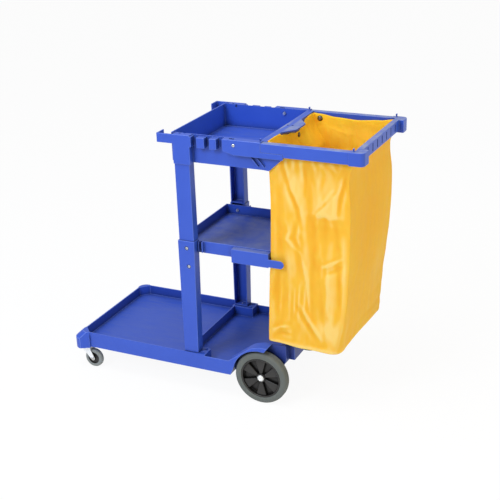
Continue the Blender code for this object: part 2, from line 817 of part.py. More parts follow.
def makeTray():
    inside = traySide - trayWall
    body = block("tray", (trayStart, trayEnd), (-traySide, traySide), (trayBottom, topHeight))
    crossbarStart = trayEnd - crossbarWidth
    upper = block("inside", (trayStart + trayWall, crossbarStart), (-inside, inside),
                  (trayFloorTop, topHeight + overrun))
    lower = block("underside", (trayStart + trayWall, crossbarStart), (-inside, inside),
                  (trayBottom - overrun, trayFloorTop - trayWall))
    bar = block("bar inside", (crossbarStart + trayWall, trayEnd - trayWall), (-inside, inside),
                (trayBottom - overrun, topHeight - trayWall))
    body = carved(body, upper, lower, bar)

    rootSide = traySide - trayWall / 2
    root = trayEnd - trayWall / 2
    tab = [(root, -tabRootHalf), (trayEnd + tabReach, -tabTipHalf), (trayEnd + tabReach, tabTipHalf),
           (root, tabRootHalf)]
    added = [prism("tab", tab, "Z", topHeight - tabThickness, topHeight)]
    for name, side in sides:
        added += trayFlange(side)
        added.append(trayWing(side))
        added.append(block("socket", (socketStart, socketEnd), span(side, rootSide, sideFace),
                           (upperPostTop + gap, topHeight)))
        for shares in fingerShares:
            place = [socketEnd + share * (flangeStart - socketEnd) for share in shares]
            added.append(block("finger", place, span(side, rootSide, sideFace),
                               (flangeBottom, topHeight - fingerDrop)))
        hookEnd = socketStart - hookLength
        up = (topHeight - hookDepth, topHeight)
        added.append(block("hook", (hookEnd, socketStart + trayWall),
                           span(side, sideFace - hookWall, sideFace), up))
        added.append(block("hook end", (hookEnd, hookEnd + hookWall),
                           span(side, sideFace - hookReach, sideFace), up))
        for index in range(gussetCount):
            place = trayEnd - gussetOffset + index * gussetPitch
            high = topHeight - gussetDrop
            low = high - gussetHeight
            outline = [(place, high), (place + gussetWidth, high), (place + gussetWidth + gussetRun, low),
                       (place + gussetRun, low)]
            added.append(prism("gusset", outline, "Y", side * rootSide, side * (traySide + gussetDepth)))
        added.append(peg(side, jointPlace - trayPegInset, sideFace - trayPegSideInset))
    body = joined(body, *added)

    holePlaces = [(trayEnd - barHoleInset, 0), (trayEnd - barHoleInset + barHoleStep, 0)]
    first = socketStart + deckHoleOffset
    across = sideFace - deckHoleInset
    for name, side in sides:
        holePlaces += [(first, side * across), (first + deckHoleStep, side * (across - deckHoleShift))]
    cutters = []
    for along, across in holePlaces:
        hole = rod("hole", deckHoleRadius, topHeight - deckHoleDepth, topHeight + overrun)
        hole.location = (along, across, 0)
        cutters.append(hole)
    for name, side in sides:
        cutters.append(block("pocket", (socketStart + trayWall, upperTenonEnd + gap),
                             span(side, traySide, sideFace - trayWall),
                             (trayBottom - overrun, upperPostTop + socketDepth + gap)))
        slotStart = flangeStart + slotOffset
        slotOuter = sideFace - slotInset
        cutters.append(block("slot", (slotStart, slotStart + slotLength),
                             span(side, slotOuter - slotWidth, slotOuter),
                             (topHeight - 2 * trayWall, topHeight + overrun)))
        hole = rod("hole", screwHole, inside - overrun, sideFace + overrun)
        cutters.append(faceAlong(hole, (0, side, 0), (frameBoltPlace, 0, frameBoltHeight)))
        hole = rod("hole", screwHole, socketStart - overrun, socketStart + trayWall + overrun)
        cutters.append(faceAlong(hole, (1, 0, 0), (0, side * socketScrewSide, socketScrewHeight)))
    return carved(body, *cutters, *studHoles(["tray"]))


# Bag frame
def cornerBlock(side):
    centre = (bagEnd - blockRadius, blockOuter - blockRadius)
    points = [(blockStart, railInner), (blockStart, blockOuter)]
    points += arc(centre, blockRadius, math.pi / 2, 0, blockSteps)
    points += [(bagEnd, blockInner), (endRailStart, blockInner), (endRailStart, railInner)]
    outline = [(x, side * y) for x, y in points]
    return prism("corner", outline, "Z", topHeight - blockDepth, topHeight - railDrop / 2)


def makeFrame():
    armTop = topHeight - railDrop
    body = block("end rail", (endRailStart, endRailEnd), (-blockInner - railWall, blockInner + railWall),
                 (endRailBottom, topHeight))
    cutters = [block("end hollow", (endRailStart + railWall, endRailEnd - railWall),
                     (railWall - blockInner, blockInner - railWall),
                     (endRailBottom - overrun, topHeight - railWall))]
    for index in range(grooveCount):
        middle = (index - (grooveCount - 1) / 2) * groovePitch
        cutters.append(block("groove", (endRailEnd - grooveDepth, endRailEnd + overrun),
                             (middle - grooveWidth / 2, middle + grooveWidth / 2),
                             (endRailBottom + grooveMargin, topHeight - grooveMargin)))
    body = carved(body, *cutters)
    added = []
    cutters = []
    for name, side in sides:
        added.append(cornerBlock(side))
        added.append(block("arm", (lipEnd + gap, blockStart + railWall), span(side, railInner, sideFace),
                           (railBottom, armTop)))
        added.append(block("arm end", (jointPlace + gap, lipEnd + railWall), span(side, railInner, sideFace),
                           (lipTop + gap, armTop)))
        added.append(block("tongue", (tongueStart, jointPlace + railWall),
                           span(side, traySide + gap, sideFace - trayWall - gap),
                           (lipTop + gap, topHeight - armTongueDrop)))
        added.append(peg(side, blockStart + framePegOffset, sideFace - framePegInset))
        cutters.append(block("hollow", (lipEnd + railWall, blockStart - railWall),
                             span(side, railInner + railWall, sideFace - railWall),
                             (railBottom - overrun, armTop - railWall)))
        hole = rod("hole", screwHole, traySide - overrun, sideFace + overrun)
        cutters.append(faceAlong(hole, (0, side, 0), (frameBoltPlace, 0, frameBoltHeight)))
        cutters += studHoles(["front_" + name, "rear_" + name])
    return carved(joined(body, *added), *cutters)


# Waste bag
def bagRing(row, inset):
    height = bagBottom + (bagTop - bagBottom) * bagHeightShares[row]
    start = trayEnd + gap - bagStartLean * bagStartShares[row] + inset
    end = endRailStart - gap - bagEndLean * bagEndShares[row] - inset
    half = railInner - gap - bagSideInset * bagSideShares[row] - inset
    radius = bagCorner - inset
    points = []
    for turn, x, y in ((0, end - radius, half - radius), (1, start + radius, half - radius),
                       (2, start + radius, radius - half), (3, end - radius, radius - half)):
        angle = turn * math.pi / 2
        points += arc((x, y), radius, angle, angle + math.pi / 2, bagCornerSteps)
    return points, height


def makeBag():
    rows = range(len(bagHeightShares))
    rings = []
    for row in rows:
        points, height = bagRing(row, 0)
        rings.append([(x, y, height) for x, y in points])
    for row in reversed(rows):
        points, height = bagRing(row, bagWall)
        lift = bagFloor if row == 0 else 0
        rings.append([(x, y, height + lift) for x, y in points])
    holes = []
    for location, direction in hangers.values():
        hole = rod("hole", eyeletHole, -overrun, overrun, roundSides)
        holes.append(faceAlong(hole, direction, location))
    return carved(loft("bag", rings), *holes)


def makeEyelet():
    # The clamped ring of an eyelet. Height 0 is the face that holds the stud, and it counts into the bag.
    inner = bagWall + 2 * gap
    return ring("eyelet", eyeletInner, eyeletOuter, inner, inner + eyeletThickness, boltSides)


def makeStud():
    seat = bagWall + 3 * gap + eyeletThickness
    profile = [(0, -studGrip), (studRadius, -studGrip), (studRadius, seat), (studHead, seat),
               (studHead, seat + studHeadHeight), (0, seat + studHeadHeight)]
    return turned("stud", profile, boltSides)


def studHoles(names):
    holes = []
    for name in names:
        location, direction = hangers[name]
        hole = rod("hole", studRadius + gap, -studGrip - gap, overrun)
        holes.append(faceAlong(hole, direction, location))
    return holes


# Fasteners
def screw(length):
    # The head's underside is at height 0 and the shank runs down from it.
    profile = [(0, screwHeadHeight), (screwHead - screwHeadRound, screwHeadHeight),
               (screwHead, screwHeadHeight - screwHeadRound), (screwHead, 0), (screwRadius, 0),
               (screwRadius, -length), (0, -length)]
    return turned("screw", profile, boltSides)


def nut():
    return ring("nut", screwHole / math.cos(math.pi / hexSides), nutRadius, 0, nutHeight, hexSides)


def addFasteners(cart, paints, name, side):
    inwards = (0, -side, 0)
    outwards = (0, side, 0)
    sunk = sideFace - counterboreDepth
    shelfInner = shelfHalfWidth - shelfWall
    trayInner = traySide - trayWall
    boltEnd = shelfInner - gap - nutHeight - boltTail
    webInner = lowerTenonFace - postWall
    socketInside = socketStart + trayWall + gap + postWall
    underPad = rimTop - baseWall - gap
    overFoot = rimTop + gap + postWall
    # Each screw: where the underside of its head seats, which way the head faces and how far the shank runs
    screws = {"post_bolt_": ((boltPlace, side * (sunk + gap), boltHeight), outwards, sunk + gap - boltEnd),
              "post_screw_": ((lowScrewPlace, side * (sunk + gap), lowScrewHeight), outwards,
                              sunk + gap - webInner + boltTail),
              "frame_bolt_": ((frameBoltPlace, side * (sideFace + gap), frameBoltHeight), outwards,
                              sideFace + 2 * gap + nutHeight + boltTail - trayInner),
              "socket_screw_": ((socketStart - gap, side * socketScrewSide, socketScrewHeight), (-1, 0, 0),
                                socketInside + boltTail - socketStart),
              "foot_screw_": ((footScrewPlace, side * footScrewSide, underPad), (0, 0, -1),
                              overFoot + boltTail - underPad)}
    for prefix, (seat, direction, length) in screws.items():
        finished(faceAlong(screw(length), direction, seat), prefix + name, paints["zinc"], cart)
    nuts = {"post_nut_": (boltPlace, side * (shelfInner - gap), boltHeight),
            "frame_nut_": (frameBoltPlace, side * (trayInner - gap), frameBoltHeight)}
    for prefix, seat in nuts.items():
        finished(faceAlong(nut(), inwards, seat), prefix + name, paints["zinc"], cart)


# Rear wheels. Their own Z points outwards along the axle.
def makeTyre():
    half = wheelWidth / 2
    steps = [(wheelRadius - tyreShoulder, half), (wheelRadius - tyreShoulderRise, half - tyreShoulderInset),
             (wheelRadius, tyreTreadHalf)]
    profile = [(tyreBore, -half)] + [(radius, -height) for radius, height in steps]
    profile += list(reversed(steps)) + [(tyreBore, half)]
    return turned("tyre", profile, wheelSides)


def makeHub():
    half = wheelWidth / 2 - rimInset
    inner = rimRadius - rimWall
    profile = [(hubBore, -bossIn), (hubBossRadius, -bossIn), (hubBossRadius, -webHalf), (inner, -webHalf),
               (inner, -half), (rimRadius, -half), (rimRadius, half), (inner, half), (inner, webHalf),
               (hubBossRadius, webHalf), (hubBossRadius, bossOut), (hubBore, bossOut)]
    spokes = []
    for index in range(spokeCount):
        turn = 2 * math.pi * index / spokeCount + math.pi / 2
        along = Vector((math.cos(turn), math.sin(turn)))
        across = Vector((-along.y, along.x))
        root = hubBossRadius - spokeBite
        tip = inner + spokeBite
        corners = [along * root - across * spokeRootHalf, along * tip - across * spokeTipHalf,
                   along * tip + across * spokeTipHalf, along * root + across * spokeRootHalf]
        spokes.append(prism("spoke", [tuple(corner) for corner in corners], "Z", -spokeHalf, spokeHalf))
    return joined(turned("hub", profile, wheelSides), *spokes)


def makeCap():
    top = capGrip + capDome
    profile = [(0, top), (capRadius * capCrownShare, top - capRim / 2), (capRadius, capRim), (capRadius, 0),
               (axleBore, 0), (axleBore, capGrip), (0, capGrip)]
    return turned("cap", profile, roundSides)


def addRearWheels(cart, paints):
    reach = wheelSide + bossOut + capGrip
    axle = faceAlong(rod("axle", axleRadius, -reach, reach, roundSides), (0, 1, 0), (0, 0, 0))
    finished(axle, "rear_axle", paints["steel"], cart, (axlePlace, 0, wheelRadius))
    for name, side in sides:
        outwards = (0, side, 0)
        bush = ring("bush", axleBore, bushRadius, -bossIn, bossOut, roundSides)
        washer = ring("washer", axleBore, axleBore + washerWidth, 0, washerThickness, roundSides)
        pieces = (("rear_tyre_", makeTyre(), "tyre", wheelSide),
                  ("rear_hub_", makeHub(), "black", wheelSide),
                  ("wheel_bush_", bush, "nylon", wheelSide),
                  ("axle_cap_", makeCap(), "steel", wheelSide + bossOut + gap),
                  ("axle_washer_", washer, "steel", washerInner))
        for prefix, thing, paint, across in pieces:
            faceAlong(thing, outwards, (axlePlace, side * across, wheelRadius))
            finished(thing, prefix + name, paints[paint], cart)


# Casters. X and Y are measured from the swivel axis, Z from the floor.
def makeStem():
    head = crownUnder - gap
    profile = [(0, housingBottom + stemLength), (stemRadius, housingBottom + stemLength),
               (stemRadius, crownTop + gap), (kingpinRadius, crownTop + gap), (kingpinRadius, head),
               (kingpinHeadRadius, head), (kingpinHeadRadius, head - kingpinHead), (0, head - kingpinHead)]
    return turned("stem", profile, roundSides)


def makeRace():
    inner = stemRadius + gap
    inside = raceRadius - raceSkirt
    skirt = crownTop + gap
    profile = [(inner, raceBottom), (inside, raceBottom), (inside, skirt), (raceRadius, skirt),
               (raceRadius, raceTop), (inner, raceTop)]
    return turned("race", profile, casterSides)


def makeBearing():
    # Balls held in a flat cage.
    middle = crownTop + gap + ballRadius
    balls = []
    for index in range(ballCount):
        turn = 2 * math.pi * index / ballCount
        form = bmesh.new()
        bmesh.ops.create_uvsphere(form, u_segments=ballSegments, v_segments=ballRings, radius=ballRadius)
        ball = addObject("ball", form)
        ball.location = (ballCircle * math.cos(turn), ballCircle * math.sin(turn), middle)
        balls.append(ball)
    cage = ring("cage", ballCircle - cageHalf, ballCircle + cageHalf, middle - cageHalf / 2,
                middle + cageHalf / 2, casterSides)
    return joined(cage, *balls)


def makeYoke():
    outer = legGap + legThickness
    foot = arc((casterTrail, casterRadius), legFootRadius, legFootStart, legFootEnd, legSteps)
    shoulder = crownTop - legShoulder
    outline = [(-crownFront, crownTop), (-crownFront, shoulder)] + foot
    outline += [(crownRear, shoulder), (crownRear, crownTop)]
    crown = block("crown", (-crownFront, crownRear), (-outer, outer), (crownUnder, crownTop))
    legs = [prism("leg", outline, "Y", side * legGap, side * outer) for name, side in sides]
    bolt = rod("bolt hole", casterBoltHole, -outer - overrun, outer + overrun)
    pin = rod("pin hole", kingpinRadius + gap, crownUnder - overrun, crownTop + overrun, roundSides)
    return carved(joined(crown, *legs), faceAlong(bolt, (0, 1, 0), (casterTrail, 0, casterRadius)), pin)


def makeCasterTyre():
    half = casterWidth / 2
    inner = casterRadius - casterTyreWall
    profile = [(inner, -half), (casterRadius - casterShoulder, -half), (casterRadius, casterShoulder - half),
               (casterRadius, half - casterShoulder), (casterRadius - casterShoulder, half), (inner, half)]
    return turned("tyre", profile, casterSides)


def makeCasterHub():
    half = casterWidth / 2 - casterHubInset
    outer = casterRadius - casterTyreWall - gap
    boss = legGap - gap
    profile = [(casterBoltHole, -boss), (casterBossRadius, -boss), (casterBossRadius, -half), (outer, -half),
               (outer, half), (casterBossRadius, half), (casterBossRadius, boss), (casterBoltHole, boss)]
    return turned("hub", profile, casterSides)


def addCaster(cart, paints, name, side):
    swivel = bpy.data.objects.new("caster_swivel_" + name, None)
    bpy.context.collection.objects.link(swivel)
    swivel.parent = cart
    swivel.location = (stemPlace, side * stemSide, 0)
    finished(makeStem(), "caster_stem_" + name, paints["steel"], swivel)
    finished(makeRace(), "caster_race_" + name, paints["zinc"], swivel)
    finished(makeBearing(), "caster_bearing_" + name, paints["steel"], swivel)
    finished(makeYoke(), "caster_yoke_" + name, paints["zinc"], swivel)

    outer = legGap + legThickness
    centre = (casterTrail, 0, casterRadius)
    outwards = (0, side, 0)
    tail = outer + 2 * gap + casterNutHeight + casterBoltTail
    profile = [(0, outer + gap + casterBoltHeadHeight), (casterBoltHead, outer + gap + casterBoltHeadHeight),
               (casterBoltHead, outer + gap), (casterBoltRadius, outer + gap), (casterBoltRadius, -tail),
               (0, -tail)]
    bolt = turned("bolt", profile, boltSides)
    nutBore = casterBoltHole / math.cos(math.pi / hexSides)
    nutTop = -outer - gap
    casterNut = ring("nut", nutBore, casterBoltHead, nutTop - casterNutHeight, nutTop, hexSides)
    pieces = (("caster_tyre_", makeCasterTyre(), "tyre"), ("caster_hub_", makeCasterHub(), "black"),
              ("caster_bolt_", bolt, "steel"), ("caster_nut_", casterNut, "steel"))
    for prefix, thing, paint in pieces:
        faceAlong(thing, outwards, centre)
        finished(thing, prefix + name, paints[paint], swivel)


def main():
    for thing in list(bpy.data.objects):
        bpy.data.objects.remove(thing)
    paints = {name: material(name, colour, roughness, metallic)
              for name, (colour, roughness, metallic) in finishes.items()}
    cart = bpy.data.objects.new("cart", None)
    bpy.context.collection.objects.link(cart)
    cart.location = (-cartCentre, 0, 0)

    finished(makeBase(), "base_deck", paints["blue"], cart)
    for name, side in sides:
        finished(makeLowerPost(side), "lower_post_" + name, paints["blue"], cart)
        finished(makeUpperPost(side), "upper_post_" + name, paints["blue"], cart)
        addCaster(cart, paints, name, side)
        addFasteners(cart, paints, name, side)
    finished(makeShelf(), "middle_shelf", paints["blue"], cart)
    finished(makeTray(), "tool_tray", paints["blue"], cart)
    finished(makeFrame(), "bag_frame", paints["blue"], cart)
    finished(makeBag(), "waste_bag", paints["yellow"], cart)
    for name, (location, direction) in hangers.items():
        finished(faceAlong(makeEyelet(), direction, location), "bag_eyelet_" + name, paints["dark"], cart)
        finished(faceAlong(makeStud(), direction, location), "bag_stud_" + name, paints["zinc"], cart)
    addRearWheels(cart, paints)


main()
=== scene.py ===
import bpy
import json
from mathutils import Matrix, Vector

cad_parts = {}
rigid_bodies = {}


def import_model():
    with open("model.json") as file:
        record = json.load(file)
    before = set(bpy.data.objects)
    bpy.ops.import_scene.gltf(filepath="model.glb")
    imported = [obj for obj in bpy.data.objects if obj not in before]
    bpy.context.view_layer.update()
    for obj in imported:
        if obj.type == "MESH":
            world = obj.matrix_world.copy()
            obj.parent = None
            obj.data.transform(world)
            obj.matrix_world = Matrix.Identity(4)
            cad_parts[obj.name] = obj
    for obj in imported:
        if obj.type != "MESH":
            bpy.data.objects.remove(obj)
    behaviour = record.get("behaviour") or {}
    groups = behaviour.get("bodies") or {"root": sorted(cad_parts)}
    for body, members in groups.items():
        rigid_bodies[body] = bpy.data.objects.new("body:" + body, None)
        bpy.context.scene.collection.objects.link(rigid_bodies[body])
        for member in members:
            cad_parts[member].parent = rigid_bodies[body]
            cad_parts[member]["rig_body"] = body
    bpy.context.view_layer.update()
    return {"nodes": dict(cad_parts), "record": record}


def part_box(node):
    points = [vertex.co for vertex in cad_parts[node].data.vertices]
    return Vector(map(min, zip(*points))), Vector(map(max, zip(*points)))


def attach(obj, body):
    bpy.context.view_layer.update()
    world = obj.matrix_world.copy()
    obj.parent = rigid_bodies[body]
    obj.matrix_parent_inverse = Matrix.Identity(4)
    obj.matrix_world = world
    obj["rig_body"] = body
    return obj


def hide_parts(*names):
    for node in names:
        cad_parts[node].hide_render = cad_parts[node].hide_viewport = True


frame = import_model()

import json
import math

import bmesh
import bpy
from mathutils import Matrix, Vector, noise

millimetre = 0.001
nodes = frame["nodes"]
sides = (("near", Vector((0, -1, 0))), ("far", Vector((0, 1, 0))))
upward = Vector((0, 0, 1))


# Small helpers
def hexColour(code):
    # A hex colour as the eye sees it, turned to the linear values that the shaders take.
    values = [int(code[place:place + 2], 16) / 255 for place in (1, 3, 5)]
    linear = [value / 12.92 if value <= 0.04045 else ((value + 0.055) / 1.055) ** 2.4 for value in values]
    return (*linear, 1)


def setInputs(tree, node, inputs):
    # A socket is linked, and so is a node, by its first output in use. Text is a hex colour.
    for name, value in inputs.items():
        if isinstance(value, bpy.types.Node):
            value = next(output for output in value.outputs if output.enabled)
        if isinstance(value, bpy.types.NodeSocket):
            tree.links.new(value, node.inputs[name])
        else:
            node.inputs[name].default_value = hexColour(value) if isinstance(value, str) else value


def addNode(tree, kind, inputs=None, **settings):
    node = tree.nodes.new("ShaderNode" + kind)
    for name, value in settings.items():
        setattr(node, name, value)
    setInputs(tree, node, inputs or {})
    return node


def newMaterial(name, shaderValues):
    material = bpy.data.materials.new(name)
    material.use_nodes = True
    tree = material.node_tree
    shader = tree.nodes["Principled BSDF"]
    setInputs(tree, shader, shaderValues)
    return material, tree, shader


def selectOnly(piece):
    bpy.ops.object.select_all(action="DESELECT")
    piece.select_set(True)
    bpy.context.view_layer.objects.active = piece


def editWhole(piece):
    selectOnly(piece)
    bpy.ops.object.mode_set(mode="EDIT")
    bpy.ops.mesh.select_mode(type="VERT")
    bpy.ops.mesh.select_all(action="SELECT")


def leaveEdit():
    bpy.ops.object.mode_set(mode="OBJECT")


def applyPlace(piece):
    selectOnly(piece)
    bpy.ops.object.transform_apply(location=True, rotation=True, scale=True)


def applyModifier(piece, kind, **settings):
    selectOnly(piece)
    modifier = piece.modifiers.new(kind.lower(), kind)
    for name, value in settings.items():
        setattr(modifier, name, value)
    bpy.ops.object.modifier_apply(modifier=modifier.name)


def combine(piece, operation, other):
    applyModifier(piece, "BOOLEAN", operation=operation, solver="EXACT", object=other)
    bpy.data.objects.remove(other)


def copyPiece(piece):
    copied = piece.copy()
    copied.data = piece.data.copy()
    bpy.context.scene.collection.objects.link(copied)
    return copied


def smoothPiece(piece, degrees):
    # Edges that turn by more than these degrees stay sharp.
    selectOnly(piece)
    bpy.ops.object.shade_smooth_by_angle(angle=math.radians(degrees))


def nodeCentre(name):
    low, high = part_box(name)
    return (low + high) / 2


def nodeSpan(name, direction):
    low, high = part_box(name)
    return abs((high - low).dot(direction))


def nodeEnd(name, direction):
    # The middle of the face of a node's box that a direction points to
    return nodeCentre(name) + direction * nodeSpan(name, direction) / 2


def fitNode(piece, nodeName, suffix, material):
    # The piece takes its node's place, on the same body and in the same slot.
    piece.name = nodeName + suffix
    piece.data.name = nodeName + suffix
    piece.data.materials.clear()
    piece.data.materials.append(material)
    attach(piece, nodes[nodeName]["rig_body"])
    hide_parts(nodeName)


# Camera, where the photograph was taken from
cameraPlace = {"location": (1.5841, -3.1346, 1.9232), "yaw": 0.4515, "pitch": 0.3908, "roll": -0.0358,
               "lens": 74.05, "sensor": 36, "clipEnd": 60}


def addCamera():
    yaw, pitch, roll = (cameraPlace[name] for name in ("yaw", "pitch", "roll"))
    ahead = Vector((-math.sin(yaw) * math.cos(pitch), math.cos(yaw) * math.cos(pitch), -math.sin(pitch)))
    right = ahead.cross(upward).normalized()
    up = right.cross(ahead)
    turnedRight = right * math.cos(roll) + up * math.sin(roll)
    turnedUp = up * math.cos(roll) - right * math.sin(roll)
    data = bpy.data.cameras.new("photoCamera")
    data.lens = cameraPlace["lens"]
    data.sensor_width = cameraPlace["sensor"]
    data.clip_end = cameraPlace["clipEnd"]
    camera = bpy.data.objects.new("photoCamera", data)
    bpy.context.scene.collection.objects.link(camera)
    turn = Matrix((turnedRight, turnedUp, -ahead)).transposed().to_4x4()
    camera.matrix_world = Matrix.Translation(cameraPlace["location"]) @ turn
    bpy.context.scene.camera = camera


# Studio: three soft boxes, a plain surround and a white floor that keeps a faint shadow
studio = {"aim": (0.05, 0, 0.5), "surround": 0.58, "floorSpan": 90, "floorWhite": "#F8F8F8", "floorLit": 0.07,
          "lights": {"key": {"energy": 76, "color": (0.90, 1.03, 1.25), "size": 1.5},
                     "top": {"energy": 44, "color": (1.0, 1.0, 1.0), "size": 1.6},
                     "fill": {"energy": 28, "color": (1.05, 0.95, 0.60), "size": 2.0}},
          "places": {"key": (-1.3, -3.6, 3.3), "top": (-0.2, -0.9, 3.6), "fill": (3.6, -1.2, 1.9)}}


def addStudio():
    scene = bpy.context.scene
    scene.view_settings.view_transform = "Standard"
    for light, values in studio["lights"].items():
        data = bpy.data.lights.new(light + "Light", "AREA")
        for name, value in values.items():
            setattr(data, name, value)
        lamp = bpy.data.objects.new(light + "Light", data)
        scene.collection.objects.link(lamp)
        lamp.location = studio["places"][light]
        lamp.rotation_euler = (Vector(studio["aim"]) - lamp.location).to_track_quat("-Z", "Y").to_euler()

    world = bpy.data.worlds.new("surround")
    world.use_nodes = True
    scene.world = world
    # Above the floor's far edge the camera sees plain white, while the surround lights the cart less.
    seen = addNode(world.node_tree, "LightPath").outputs["Is Camera Ray"]
    strength = addNode(world.node_tree, "MapRange", {"Value": seen, "To Min": studio["surround"]})
    backdrop = world.node_tree.nodes["Background"]
    setInputs(world.node_tree, backdrop, {"Color": (1, 1, 1, 1), "Strength": strength})

    bpy.ops.mesh.primitive_plane_add(size=studio["floorSpan"], location=(0, 0, 0))
    floor = bpy.context.object
    floor.name = "studioFloor"
    material = bpy.data.materials.new("whiteFloor")
    material.use_nodes = True
    tree = material.node_tree
    tree.nodes.clear()
    path = addNode(tree, "LightPath").outputs
    seen = addNode(tree, "Math", {0: path["Is Camera Ray"], 1: path["Is Glossy Ray"]}, operation="MAXIMUM")
    seen = addNode(tree, "Math", {0: seen, 1: path["Is Transmission Ray"]}, operation="MAXIMUM")
    glow = addNode(tree, "Math", {0: seen, 1: 1 - studio["floorLit"]}, operation="MULTIPLY")
    lit = addNode(tree, "BsdfDiffuse", {"Color": studio["floorWhite"]})
    white = addNode(tree, "Emission", {"Color": (1, 1, 1, 1), "Strength": 1})
    addNode(tree, "OutputMaterial", {"Surface": addNode(tree, "MixShader", {0: glow, 1: lit, 2: white})})
    floor.data.materials.append(material)


def shadeHollows(tree, colour, look):
    # Painted shade: the colour is darkened in slots, seams and inner corners, where light seldom reaches.
    # Returns the share, 1 in the open and less inside, and the colour by that share.
    room = addNode(tree, "AmbientOcclusion", {"Distance": look["hollowReach"]}, samples=4).outputs["AO"]
    share = addNode(tree, "MapRange", {"Value": room, "From Min": 0.25, "From Max": 0.88,
                                       "To Min": look["hollowShade"]})
    return share, addNode(tree, "VectorMath", {0: colour, "Scale": share}, operation="SCALE")


# Moulded polypropylene, blue. Spark-eroded mould: satin, with a fine grain; scuffed pale where things slide.
# In each Mix node, input 0 is the share, and inputs 6 and 7 are the two colours.
blueFinish = {"deep": "#274BB6", "light": "#3158C4", "wearAndHighlight": "#6E88DA", "scuffed": "#6A7AAC",
              "dustAndPaintedLight": "#8A93AE", "paintedShade": "#1B2664", "low": 0.35, "high": 0.49, "scuffDull": 0.10,
              "driftPitch": 0.21, "grainPitch": 0.0011, "sinkPitch": 0.055, "dustAndLightPitch": 0.06,
              "scuffPitch": 0.012, "scuffStretch": 9, "scuffAmount": 0.34, "wearAndHighlightAmount": 0.45,
              "hollowReach": 0.030, "hollowShade": 0.22}


def makeBluePlastic():
    look = blueFinish
    material, tree, shader = newMaterial("mouldedPolypropylene", {"IOR": 1.49, "Specular IOR Level": 0.5})
    place = addNode(tree, "TexCoord").outputs["Object"]
    drift = addNode(tree, "TexNoise", {"Vector": place, "Scale": 1 / look["driftPitch"],
                                       "Detail": 3.0, "Roughness": 0.55})
    colour = addNode(tree, "Mix", {0: drift, 6: look["deep"], 7: look["light"]}, data_type="RGBA")
    # Scuffs: long faint streaks along X, on faces that look up only.
    stretch = addNode(tree, "Mapping", {"Vector": place, "Scale": (1, look["scuffStretch"], 1)})
    streaks = addNode(tree, "TexNoise", {"Vector": stretch, "Detail": 5.0, "Roughness": 0.7,
                                         "Scale": 1 / look["scuffPitch"] / look["scuffStretch"]})
    facing = addNode(tree, "SeparateXYZ", {0: addNode(tree, "NewGeometry").outputs["Normal"]}).outputs["Z"]
    level = addNode(tree, "MapRange", {"Value": facing, "From Min": 0.9, "From Max": 0.99})
    strong = addNode(tree, "MapRange", {"Value": streaks, "From Min": 0.38, "From Max": 0.72})
    scuff = addNode(tree, "Math", {0: level, 1: strong}, operation="MULTIPLY")
    amount = addNode(tree, "Math", {0: scuff, 1: look["scuffAmount"]}, operation="MULTIPLY")
    colour = addNode(tree, "Mix", {0: amount, 6: colour, 7: look["scuffed"]}, data_type="RGBA")
    # Dust and painted light: broad pale grey patches on faces that look up, partly dust where things are put
    # down and partly painted light on shaded floors and rail tops.
    patches = addNode(tree, "TexNoise", {"Vector": place, "Scale": 1 / look["dustAndLightPitch"], "Detail": 5.0,
                                         "Roughness": 0.65})
    patchy = addNode(tree, "MapRange", {"Value": patches, "From Min": 0.30, "From Max": 0.68})
    share = addNode(tree, "Attribute", attribute_name="dustAndPaintedLight").outputs["Fac"]
    dustAndLit = addNode(tree, "Math", {0: patchy, 1: share}, operation="MULTIPLY")
    dustAndLit = addNode(tree, "Math", {0: dustAndLit, 1: level}, operation="MULTIPLY")
    colour = addNode(tree, "Mix", {0: dustAndLit, 6: colour, 7: look["dustAndPaintedLight"]}, data_type="RGBA")
    # Painted shade: the base's rear end, which lies in the bag's shadow, its floor a little, and the front
    # tray's left and far inner walls are darkened towards navy.
    paintedShadeShare = addNode(tree, "Attribute", attribute_name="paintedShade").outputs["Fac"]
    colour = addNode(tree, "Mix", {0: paintedShadeShare, 6: colour, 7: look["paintedShade"]}, data_type="RGBA")
    # Rounded edges are painted a little paler: partly wear, partly a painted highlight.
    edge = addNode(tree, "Attribute", attribute_name="edgeWearAndHighlight").outputs["Fac"]
    paleHighlight = addNode(tree, "Math", {0: edge, 1: look["wearAndHighlightAmount"]}, operation="MULTIPLY")
    colour = addNode(tree, "Mix", {0: paleHighlight, 6: colour, 7: look["wearAndHighlight"]}, data_type="RGBA")
    # Painted shade in slots, seams and inner corners
    colour = shadeHollows(tree, colour, look)[1]
    gloss = addNode(tree, "MapRange", {"Value": drift, "To Min": look["low"], "To Max": look["high"]})
    gloss = addNode(tree, "Math", {0: scuff, 1: look["scuffDull"], 2: gloss}, operation="MULTIPLY_ADD")
    # Bumps: the mould's fine grain, and broad sink marks over the ribs
    grain = addNode(tree, "TexNoise", {"Vector": place, "Scale": 1 / look["grainPitch"], "Detail": 2.0})
    sink = addNode(tree, "TexNoise", {"Vector": place, "Scale": 1 / look["sinkPitch"], "Detail": 1.0})
    fine = addNode(tree, "Bump", {"Height": grain, "Strength": 0.20, "Distance": 0.0002})
    broad = addNode(tree, "Bump", {"Height": sink, "Strength": 0.35, "Distance": 0.0012, "Normal": fine})
    setInputs(tree, shader, {"Base Color": colour, "Roughness": gloss, "Normal": broad})
    return material


# Coated polyester bag cloth: a plain weave under a soft vinyl skin, with painted highlight on fold ridges and
# painted shade in fold hollows.
bagFinish = {"deep": "#EFB034", "light": "#F4BE44", "insideLight": "#FFCB38", "insideLightShare": 0.90,
             "paleHighlight": "#F6D27E", "hollow": "#E89818", "low": 0.44, "high": 0.58,
             "threadPitch": 0.0016, "driftPitch": 0.16, "puckerPitch": 0.018, "facetPitch": 0.034,
             "facetDepth": 0.0045, "facetShift": 0.016, "facetHeight": 0.55, "insideHighlightCalm": 0.9}


